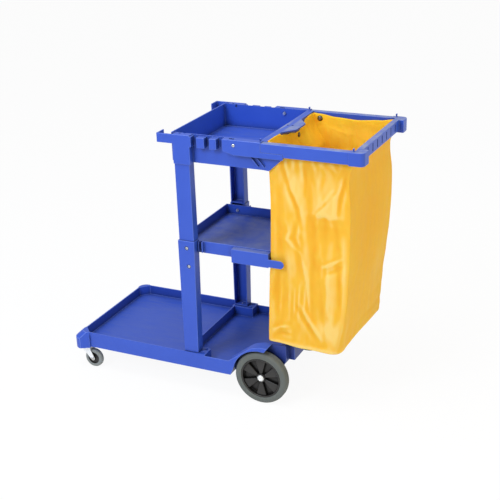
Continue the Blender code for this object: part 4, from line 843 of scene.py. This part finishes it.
# Creases in millimetres: height (hollows are negative), half-width, then points along the wall and up.
# Walls: 0 near and 2 far, measured from the tray's end; 1 bag end and 3 tray end, from the near side.
creases = {
    0: [(-4.2, 9, ((52, 910), (70, 815), (101, 749), (111, 686))),
        (-3.4, 7, ((280, 910), (258, 816), (249, 747))), (2.4, 4, ((189, 774), (235, 835), (278, 910))),
        (-2.2, 4.5, ((160, 735), (215, 800), (272, 900))), (1.6, 4, ((225, 770), (255, 850), (282, 905))),
        (-1.5, 4, ((130, 900), (133, 850), (128, 800))),
        (2.2, 8, ((64, 700), (72, 668), (64, 640), (91, 610), (111, 590))),
        (2.0, 7, ((106, 700), (99, 650), (111, 610))), (2.8, 5, ((188, 554), (225, 572), (259, 593))),
        (-2.0, 9, ((200, 532), (232, 545), (262, 566))), (1.8, 4.5, ((34, 500), (30, 332))),
        (2.0, 5.5, ((109, 600), (128, 500), (142, 353))), (2.4, 9, ((209, 550), (208, 380))),
        (-2.4, 10, ((248, 556), (248, 372))), (2.4, 7, ((273, 570), (276, 480))),
        (1.5, 3.6, ((64, 466), (62, 326))), (1.5, 3.6, ((99, 472), (97, 330))),
        (1.3, 3.6, ((84, 455), (80, 350))), (1.3, 3.6, ((121, 475), (119, 368))),
        (2.8, 7, ((106, 399), (145, 335), (179, 283))), (-2.6, 7, ((90, 390), (130, 322), (160, 275))),
        (2.2, 5, ((0, 285), (30, 300), (60, 305))), (-1.6, 5, ((8, 268), (40, 278), (70, 276))),
        (1.4, 4, ((66, 922), (62, 885))), (1.4, 4, ((92, 922), (90, 884))),
        (1.3, 4, ((118, 922), (116, 892))), (1.5, 4, ((160, 922), (172, 882))),
        (1.4, 4, ((190, 920), (206, 888))), (1.5, 4, ((222, 920), (240, 892)))],
    1: [(1.8, 14, ((107, 556), (58, 478))), (-1.4, 24, ((150, 700), (128, 600), (140, 500))),
        (1.4, 16, ((250, 420), (240, 350), (255, 290)))],
    2: [(-4.0, 11, ((60, 842), (82, 780), (100, 730))), (3.5, 13, ((40, 770), (58, 700), (52, 630))),
        (-1.2, 3, ((24, 937), (58, 921), (126, 899), (163, 898))), (-1.2, 3, ((101, 939), (122, 908))),
        (4.0, 14, ((150, 925), (146, 870), (150, 800))), (-4.0, 16, ((205, 920), (212, 860), (200, 780))),
        (2.5, 9, ((240, 880), (236, 760), (244, 650))), (-2.5, 9, ((170, 720), (172, 600), (166, 470))),
        (2.5, 9, ((120, 640), (132, 540), (120, 420))), (-2.2, 8, ((90, 560), (84, 450), (90, 340))),
        (2.2, 8, ((200, 560), (206, 450), (198, 330))), (-2.5, 8, ((230, 500), (224, 400), (236, 300))),
        (2.0, 6, ((60, 470), (56, 380), (62, 300))), (-2.0, 7, ((140, 400), (160, 330), (190, 272)))],
    3: [(-2.5, 5, ((125, 969), (146, 932), (158, 880))), (2.5, 6, ((244, 929), (252, 898), (256, 860))),
        (2.0, 6, ((70, 960), (82, 915), (80, 850))), (2.5, 14, ((200, 800), (190, 700), (204, 600))),
        (-2.5, 12, ((110, 780), (118, 640), (108, 520))), (-2.5, 12, ((290, 700), (280, 560), (292, 430))),
        (2.5, 9, ((150, 480), (156, 380), (148, 290))), (2.5, 9, ((260, 460), (250, 370), (262, 280)))]}
# Broad swells and hollows: wall, height, middle along and up, half-length along, half-lengths up and down
swells = ((0, 6.0, 205, 745, 60, 120, 16), (0, -4.0, 205, 688, 60, 24, 60), (0, 3.0, 85, 832, 28, 60, 60),
          (0, -3.0, 12, 440, 24, 50, 50), (0, 2.5, 200, 318, 40, 30, 40), (0, 2.4, 262, 660, 18, 90, 90),
          (0, 2.0, 60, 560, 50, 60, 60), (2, -6.0, 110, 650, 50, 60, 60), (2, 5.0, 180, 680, 40, 60, 60),
          (1, -3.0, 200, 650, 130, 170, 170), (1, 2.0, 300, 470, 80, 110, 110),
          (3, -4.0, 200, 560, 90, 120, 120))
# Painted highlight and painted shade patches on the cloth, laid out as the swells are, with a change of tone
# for the height
paintedLightAndShadePatches = ((0, 0.30, 200, 318, 46, 38), (0, 0.18, 85, 832, 30, 60), (0, 0.25, 110, 250, 70, 14),
         (0, -0.22, 272, 790, 14, 120), (0, -0.15, 14, 650, 20, 190), (0, 0.20, 232, 450, 20, 90),
         (0, 0.15, 120, 480, 30, 80), (2, 0.55, 165, 905, 110, 40), (2, 0.35, 60, 780, 50, 60))
# Height of the hem along each wall, in millimetres
hems = {0: ((0, 974), (40, 966), (150, 961), (262, 963), (303, 966)),
        1: ((0, 966), (83, 964), (200, 962), (323, 965), (406, 967)),
        2: ((0, 968), (24, 966), (88, 958), (165, 954), (250, 960), (303, 968)),
        3: ((0, 975), (54, 975), (99, 973), (112, 964), (181, 952), (240, 940), (262, 939), (292, 946),
            (304, 949), (322, 966), (366, 970), (406, 968))}
# How far the corners stand out past the outline by height, all in millimetres
farEnd = ((240, 14), (265, 13), (300, 7), (360, 1), (420, -2), (500, 1), (600, 5), (700, 7), (800, 7),
          (870, 3), (930, 0))
nearEnd = ((240, 0), (420, 0), (520, -2), (700, -5), (850, -5), (930, 0))
trayEnd = ((240, 3), (300, 4), (420, 4), (500, 3), (540, 0))
cornerForm = {"reach": 0.016, "keep": 0.30, "keepFrom": 0.4, "roundTop": 0.45, "roundLow": 0.24,
              "nearRadius": 0.045, "farRadius": 0.022, "footRadius": 0.014}
floorSag = {"depth": 0.010, "from": 0.795, "full": 0.905, "low": 0.240, "high": 0.315}
# The slack corner between the far wall and the tray's end leans into the bag.
slackCorner = {"lean": 0.042, "from": -0.07, "to": 0.17, "reach": 0.10, "top": 0.946, "full": 0.850,
               "low": 0.620, "end": 0.460}


def rowValue(table, share):
    # A smooth curve through a table's values at the shares of the height
    heights = bag["heights"]
    for index in range(len(heights) - 1):
        if share <= heights[index + 1]:
            step = (share - heights[index]) / (heights[index + 1] - heights[index])
            a, b, c, d = (table[max(0, min(len(table) - 1, index + offset))] for offset in (-1, 0, 1, 2))
            bend = 2 * a - 5 * b + 4 * c - d + step * (3 * (b - c) + d - a)
            return b + 0.5 * step * (c - a + step * bend)
    return table[-1]


def bagOutline(share):
    start = bag["start"] - bag["startLean"] * rowValue(bag["starts"], share) - centre
    end = bag["end"] - bag["endLean"] * rowValue(bag["ends"], share) - centre
    half = bag["half"] - bag["sideInset"] * rowValue(bag["insets"], share)
    return start, end, half


def outlineAt(height):
    return bagOutline(max(0, min(1, (height - bag["bottom"]) / (bag["top"] - bag["bottom"]))))


def easeBetween(value, low, high):
    share = max(0, min(1, (value - low) / (high - low)))
    return share * share * (3 - 2 * share)


def tableValue(table, place):
    for (first, low), (last, high) in zip(table, table[1:]):
        if place <= last:
            return low + (high - low) * easeBetween(place, first, last)
    return table[-1][1]


def ringPoint(start, end, half, side, step, low):
    # side 0 is near (-Y), 1 is the bag end, 2 is far, 3 is the tray's end; step runs from 0 to 1 along it.
    # low is 1 at the floor of the bag, where the corners are rounder, and 0 from the middle up.
    corners = [Vector((start, -half)), Vector((end, -half)), Vector((end, half)), Vector((start, half))]
    first, second = corners[side], corners[(side + 1) % 4]
    point = first.lerp(second, step)
    radius = bag["corner"]
    if low > 0 and point.x > (start + end) / 2:
        radius += (cornerForm["nearRadius" if point.y < 0 else "farRadius"] - radius) * low
    inner = Vector((max(start + radius, min(end - radius, point.x)),
                    max(radius - half, min(half - radius, point.y))))
    away = point - inner
    if away.length > radius:
        point = inner + away.normalized() * radius
    return point


def makeBagShell():
    form = bmesh.new()
    along, across, rows = bag["alongCells"], bag["acrossCells"], bag["rows"]
    counts = (along, across, along, across)
    outwards = (Vector((0, -1)), Vector((1, 0)), Vector((0, 1)), Vector((-1, 0)))
    rings = []
    for row in range(rows + 1):
        share = row / rows
        start, end, half = bagOutline(share)
        lengths = (end - start, 2 * half, end - start, 2 * half)
        height = bag["bottom"] + (bag["top"] - bag["bottom"]) * share
        low = 1 - easeBetween(height, cornerForm["roundLow"], cornerForm["roundTop"])
        ring = []
        for side in range(4):
            for cell in range(counts[side]):
                step = cell / counts[side]
                flat = ringPoint(start, end, half, side, step, low)
                calm = min(1, step * counts[side] / seed["calmCells"],
                           (1 - step) * counts[side] / seed["calmCells"],
                           (1 - share) * seed["calmTop"], share * seed["calmFoot"])
                spot = Vector((step * lengths[side] * seed["around"] + side * seed["wallStep"],
                               share * seed["up"], seed["level"]))
                point = flat + outwards[side] * seed["heights"][side] * noise.noise(spot) * calm
                ring.append(form.verts.new(keepInside(Vector((point.x, point.y, height)))))
        rings.append(ring)
    total = len(rings[0])
    for lower, upper in zip(rings, rings[1:]):
        for index in range(total):
            after = (index + 1) % total
            form.faces.new((lower[index], lower[after], upper[after], upper[index]))
    # Floor of the bag: a grid that meets the lowest ring cell by cell
    first = rings[0]
    grid = {}
    for i in range(along + 1):
        for j in range(across + 1):
            if j == 0:
                grid[i, j] = first[i]
            elif i == along:
                grid[i, j] = first[along + j]
            elif j == across:
                grid[i, j] = first[2 * along + across - i]
            elif i == 0:
                grid[i, j] = first[(total - j) % total]
    for i in range(1, along):
        for j in range(1, across):
            left, right = grid[0, j].co, grid[along, j].co
            front, back = grid[i, 0].co, grid[i, across].co
            x = front.x + (back.x - front.x) * j / across
            y = left.y + (right.y - left.y) * i / along
            sag = bag["floorSag"] * math.sin(math.pi * i / along) * math.sin(math.pi * j / across)
            grid[i, j] = form.verts.new((x, y, bag["bottom"] - sag))
    for i in range(along):
        for j in range(across):
            form.faces.new((grid[i, j], grid[i, j + 1], grid[i + 1, j + 1], grid[i + 1, j]))
    bmesh.ops.recalc_face_normals(form, faces=form.faces)
    mesh = bpy.data.meshes.new("bagShell")
    form.to_mesh(mesh)
    form.free()
    shell = bpy.data.objects.new("bagShell", mesh)
    bpy.context.scene.collection.objects.link(shell)
    return shell, total


def keepInside(point):
    # Holds a point of the cloth clear of the frame, the tray, the shelf and the base.
    limit = room["half"] - room["railInset"] * max(0, min(1, (point.z - room["railFrom"]) / room["railEase"]))
    if point.z > room["wingFrom"] and point.x < room["wingEnd"] - centre:
        limit = room["wingHalf"]
    point.y = max(-limit, min(limit, point.y))
    low = room["openEnd"]
    if point.z > room["trayFrom"]:
        low = room["trayEnd"]
    elif room["shelfLow"] < point.z < room["shelfHigh"]:
        low = room["shelfEnd"]
    high = room["frameEnd" if point.z > room["frameFrom"] else "rearEnd"]
    point.x = max(low - centre, min(high - centre, point.x))
    point.z = max(room["deck" if point.x < floorSag["from"] - centre else "ledge"], point.z)
    return point


def simulateCloth(shell, total):
    rest = [vert.co.copy() for vert in shell.data.vertices]
    pins = shell.vertex_groups.new(name="held")
    for down, weight in enumerate(bagSim["holds"]):
        row = bag["rows"] - down
        pins.add(list(range(row * total, (row + 1) * total)), weight, "REPLACE")
    modifier = shell.modifiers.new("cloth", "CLOTH")
    for name, value in bagSim["cloth"].items():
        setattr(modifier.settings, name, value)
    modifier.collision_settings.use_collision = False
    scene = bpy.context.scene
    scene.frame_start = 1
    scene.frame_end = bagSim["frames"]
    modifier.point_cache.frame_start = 1
    modifier.point_cache.frame_end = bagSim["frames"]
    for step in range(1, bagSim["frames"] + 1):
        scene.frame_set(step)
    selectOnly(shell)
    bpy.ops.object.modifier_apply(modifier=modifier.name)
    scene.frame_set(1)
    for vert, start in zip(shell.data.vertices, rest):
        # The seams down the corners and round the floor are stiff, and move little.
        low, high, half = outlineAt(start.z)
        toCorner = max(min(start.x - low, high - start.x), half - abs(start.y))
        toSeam = min(toCorner, start.z - bag["bottom"])
        least, most = bagSim["edgeShare"], bagSim["wallShares"][wallOf(start)[0]]
        share = least + (most - least) * easeBetween(toSeam, 0, bagSim["edgeHold"])
        point = start.lerp(vert.co, share)
        if (point - start).length > bagSim["cap"]:
            point = start + (point - start).normalized() * bagSim["cap"]
        vert.co = keepInside(point)


def wallOf(point):
    # Wall, place along it and distance to its nearer end, for a point of the bag.
    low, high, half = outlineAt(point.z)
    gaps = (point.y + half, high - point.x, half - point.y, point.x - low)
    wall = min(range(4), key=lambda side: abs(gaps[side]))
    if wall in (0, 2):
        return wall, point.x + centre - bag["start"], min(point.x - low, high - point.x)
    return wall, point.y + bag["half"], min(point.y + half, half - point.y)


# Painted light and shade of the folds, by curvature and by millimetres of swell, and the rounds that even
# them out
foldShadingScales = {"curve": 1900, "swell": 0.055, "rounds": 3}
# By wall: scale of its creases, height of its small wrinkles, strength of its painted light and shade and how
# flat its hem is.
# Then how creases fade, where a wall is calm at its ends, foot and hem, and how far creases wander.
creaseForm = {"scales": (1.2, 0.8, 1.1, 1.2), "small": (0.9, 0.2, 0.9, 0.9), "shadingStrengths": (1, 0.35, -0.5, -0.6),
              "hemCalm": (1, 1, 0.75, 0.75), "power": 1.3, "reach": 3, "tipShare": 0.35, "fadeShare": 0.3,
              "calmEnd": (0.002, 0.022), "calmFoot": (0.002, 0.03), "calmHem": (0.925, 0.950),
              "wanderPitch": 9, "wander": 5, "wanderStep": (4, 4, 4), "smallPitch": (60, 60, 24)}


def creaseDepth(wall, along, up):
    # Sum of the creases of a wall at a place, and of its swells, all in millimetres, and its painted change
    # of tone.
    depth, broad = 0, 0
    for height, width, points in creases[wall]:
        reach = creaseForm["reach"] * width
        if not (min(p[0] for p in points) - reach < along < max(p[0] for p in points) + reach
                and min(p[1] for p in points) - reach < up < max(p[1] for p in points) + reach):
            continue
        nearest, place, length = math.inf, 0, 0
        for (x0, z0), (x1, z1) in zip(points, points[1:]):
            span = math.hypot(x1 - x0, z1 - z0)
            share = max(0, min(1, ((along - x0) * (x1 - x0) + (up - z0) * (z1 - z0)) / span ** 2))
            gap = math.hypot(along - x0 - share * (x1 - x0), up - z0 - share * (z1 - z0))
            if gap < nearest:
                nearest, place = gap, length + share * span
            length += span
        run = min(place, length - place)
        fade = creaseForm["tipShare"]
        fade += (1 - fade) * min(1, run / (creaseForm["fadeShare"] * length))
        fall = math.exp(-(nearest / width) ** creaseForm["power"])
        depth += height * creaseForm["scales"][wall] * fade * fall
    for side, height, middle, level, halfAlong, halfUp, halfDown in swells:
        if side == wall:
            halfRise = halfUp if up > level else halfDown
            broad += height * math.exp(-((along - middle) / halfAlong) ** 2 - ((up - level) / halfRise) ** 2)
    # Here fade is the painted light and shade of the patches, not a fading of the cloth.
    fade = sum(change * math.exp(-((along - middle) / halfAlong) ** 2 - ((up - level) / halfUp) ** 2)
               for side, change, middle, level, halfAlong, halfUp in paintedLightAndShadePatches if side == wall)
    return depth, broad, fade


def sharpenCorner(point):
    # Undoes most of the rounding that the finer grid gives the corners, but not where they are to be round.
    low, high, half = outlineAt(point.z)
    reach = cornerForm["reach"]
    toEnd = min(point.x - low, high - point.x)
    toSide = half - abs(point.y)
    if max(toEnd, toSide) >= reach or min(toEnd, toSide) <= 0:
        return point
    keep = cornerForm["keep"]
    if point.x > cornerForm["keepFrom"]:
        keep += (1 - keep) * (1 - easeBetween(point.z, cornerForm["roundLow"], cornerForm["roundTop"]))
    share = keep + (1 - keep) * (max(toEnd, toSide) / reach) ** 2
    outX = -1 if point.x - low < high - point.x else 1
    point.x += outX * toEnd * (1 - share)
    point.y += math.copysign(toSide * (1 - share), point.y)
    return point


def roundFoot(point):
    # The bottom corner under the tray is round from the side.
    low = bagOutline(0)[0]
    radius = cornerForm["footRadius"]
    inX, inZ = low + radius - point.x, bag["bottom"] + radius - point.z
    reach = math.hypot(inX, inZ)
    if inX > 0 and inZ > 0 and reach > radius:
        point.x += inX * (1 - radius / reach)
        point.z += inZ * (1 - radius / reach)
    return point


def spreadCorners(point):
    low, high, half = outlineAt(point.z)
    far = easeBetween(point.y, -half, half)
    up = point.z / millimetre
    towards = easeBetween(point.x, (low + high) / 2, high)
    point.x += towards * (tableValue(farEnd, up) * far + tableValue(nearEnd, up) * (1 - far)) * millimetre
    back = easeBetween(-point.x, -(low + high) / 2, -low)
    point.x -= back * tableValue(trayEnd, up) * millimetre
    level = 1 - easeBetween(point.z, floorSag["low"], floorSag["high"])
    level *= 1 - easeBetween(point.y, -half, 0) * easeBetween(point.x, (low + high) / 2, high)
    point.z -= floorSag["depth"] * level * easeBetween(point.x + centre, floorSag["from"], floorSag["full"])
    return point


def layCreases(shell):
    # Returns the painted light and shade of each point's swell and patch, and how strongly its wall's folds
    # are painted light and dark.
    outwards = (Vector((0, -1, 0)), Vector((1, 0, 0)), Vector((0, 1, 0)), Vector((-1, 0, 0)))
    form, slack = creaseForm, slackCorner
    paintedSwellTones, shares = [], []
    for vert in shell.data.vertices:
        point = sharpenCorner(vert.co.copy())
        wall, along, toCorner = wallOf(point)
        calm = easeBetween(toCorner, *form["calmEnd"])
        calm *= easeBetween(point.z - bag["bottom"], *form["calmFoot"])
        calm *= 1 - easeBetween(point.z, *form["calmHem"]) * form["hemCalm"][wall]
        spot = point * form["wanderPitch"]
        wander = Vector((noise.noise(spot), noise.noise(spot + Vector(form["wanderStep"])))) * form["wander"]
        depth, broad, fade = creaseDepth(wall, along / millimetre + wander.x, point.z / millimetre + wander.y)
        small = form["small"][wall] * noise.noise(point * Vector(form["smallPitch"]))
        point += outwards[wall] * (depth + broad + small) * calm * millimetre
        paintedSwellTones.append(broad * calm * foldShadingScales["swell"] + fade)
        shares.append(form["shadingStrengths"][wall] * easeBetween(toCorner, 0, form["calmEnd"][1]))
        point = spreadCorners(roundFoot(point))
        # The slack corner
        level = easeBetween(point.z, slack["end"], slack["low"])
        level *= 1 - easeBetween(point.z, slack["full"], slack["top"])
        across = easeBetween(point.y, slack["from"], slack["to"])
        fromTray = max(0, 1 - (point.x + centre - bag["start"]) / slack["reach"])
        point.x += slack["lean"] * level * across * fromTray
        vert.co = keepInside(point)
    for vert in shell.data.vertices:
        share = easeBetween(vert.co.z, bag["hemFrom"], bag["top"])
        if share > 0:
            wall, along, _ = wallOf(vert.co)
            vert.co.z += (tableValue(hems[wall], along / millimetre) * millimetre - bag["top"]) * share
    return paintedSwellTones, shares


def markFolds(piece, paintedSwellTones, shares):
    # Painted light and shade: curvature of the cloth and its swells as a tone from 0, the bottom of a fold,
    # to 1, its ridge
    form = bmesh.new()
    form.from_mesh(piece.data)
    form.verts.ensure_lookup_table()
    values = []
    for vert in form.verts:
        around = [edge.other_vert(vert).co for edge in vert.link_edges]
        middle = sum(around, Vector()) / len(around)
        values.append((vert.co - middle).dot(vert.normal) * foldShadingScales["curve"])
    for _ in range(foldShadingScales["rounds"]):
        values = [(values[vert.index] + sum(values[edge.other_vert(vert).index] for edge in vert.link_edges)
                   / len(vert.link_edges)) / 2 for vert in form.verts]
    form.free()
    tone = piece.data.attributes.new("paintedFoldShading", "FLOAT", "POINT")
    tone.data.foreach_set("value", [max(0, min(1, 0.5 + value * share + broad))
                                    for value, broad, share in zip(values, paintedSwellTones, shares)])


def mapCloth(piece, total):
    # The cloth's own map in metres: round the bag and up it
    layer = piece.data.uv_layers.new(name="clothMap")
    rows = bag["rows"]
    pitch = 2 * (bag["end"] - bag["start"] + 2 * bag["half"]) / total
    rise = (bag["top"] - bag["bottom"]) / rows
    for polygon in piece.data.polygons:
        indices = list(polygon.vertices)
        if all(index < (rows + 1) * total for index in indices):
            columns = [index % total for index in indices]
            wraps = max(columns) - min(columns) > 2
            places = [((column + total if wraps and column < 2 else column) * pitch, (index // total) * rise)
                      for column, index in zip(columns, indices)]
        else:
            # The floor's map lies a metre apart from the walls'.
            places = [(piece.data.vertices[index].co.x, piece.data.vertices[index].co.y - 1)
                      for index in indices]
        for loop, spot in zip(polygon.loop_indices, places):
            layer.data[loop].uv = spot


def addBag(material):
    shell, total = makeBagShell()
    simulateCloth(shell, total)
    rows = bag["rows"]
    mapCloth(shell, total)
    # The walls have 0.75 of the hem's thickness, by their weight and the least share.
    hem = shell.vertex_groups.new(name="hem")
    hem.add(list(range(len(shell.data.vertices))), bag["wallWeight"], "REPLACE")
    hem.add(list(range(total * (rows - bag["hemRows"]), total * (rows + 1))), 1.0, "REPLACE")
    applyModifier(shell, "SUBSURF", levels=1, render_levels=1)
    paintedSwellTones, shares = layCreases(shell)
    markFolds(shell, paintedSwellTones, shares)
    outer = len(shell.data.polygons)
    applyModifier(shell, "SOLIDIFY", thickness=bag["hemThickness"], offset=-1, vertex_group="hem",
                  thickness_vertex_group=bag["leastShare"])
    # Solidify puts its inner faces after the outer ones.
    faces = range(len(shell.data.polygons))
    # The inner faces are marked for the inside's painted light.
    markFaces(shell.data, "insideLight", [float(outer <= index < 2 * outer) for index in faces])
    selectOnly(shell)
    bpy.ops.object.shade_smooth()
    fitNode(shell, "waste_bag", "_cloth", material)


# The build
addCamera()
addStudio()
print("camera and studio set")
bluePlastic = makeBluePlastic()
bagCloth = makeBagCloth()
finishes = {name: makePlainFinish(name) for name in plainFinishes}
print("materials made")

slotFinish = {"blue_plastic": bluePlastic, "bag_fabric": bagCloth, "eyelet_metal": finishes["blackenedSteel"],
              "grey_tyre": finishes["greyTyre"], "black_plastic": finishes["blackHub"],
              "nylon": finishes["naturalNylon"], "bright_steel": finishes["drawnSteel"],
              "zinc_steel": finishes["zincPlate"]}
for part in frame["record"]["subparts"]:
    if part["node"] in nodes:
        nodes[part["node"]].data.materials.clear()
        nodes[part["node"]].data.materials.append(slotFinish[part["material_slot"]])
        smoothPiece(nodes[part["node"]], rounding["cadDegrees"])
print("finishes given to the CAD nodes")

for nodeName, width in mouldings.items():
    addMoulding(nodeName, width, bluePlastic)
print("mouldings rounded")
for name, outward in sides:
    addRearTyre(name, outward, finishes["greyTyre"])
    addRearHub(name, outward, finishes["blackHub"])
    addAxleCap(name, outward, finishes["zincPlate"])
addAxleParts(finishes["drawnSteel"], finishes["naturalNylon"])
print("rear wheels made")
for name, outward in sides:
    addMoulding("caster_yoke_" + name, yokeRound, finishes["zincPlate"])
    addCaster(name, outward, finishes["casterTyre"], finishes["blackHub"], finishes["zincPlate"],
              finishes["drawnSteel"])
print("casters made")
addScrews(finishes["screwSteel"])
addNuts(finishes["screwSteel"], finishes["drawnSteel"])
addEyelets(finishes["blackenedSteel"], finishes["dullNickel"])
print("screws, nuts and eyelets made")
addBag(bagCloth)
print("bag hung")
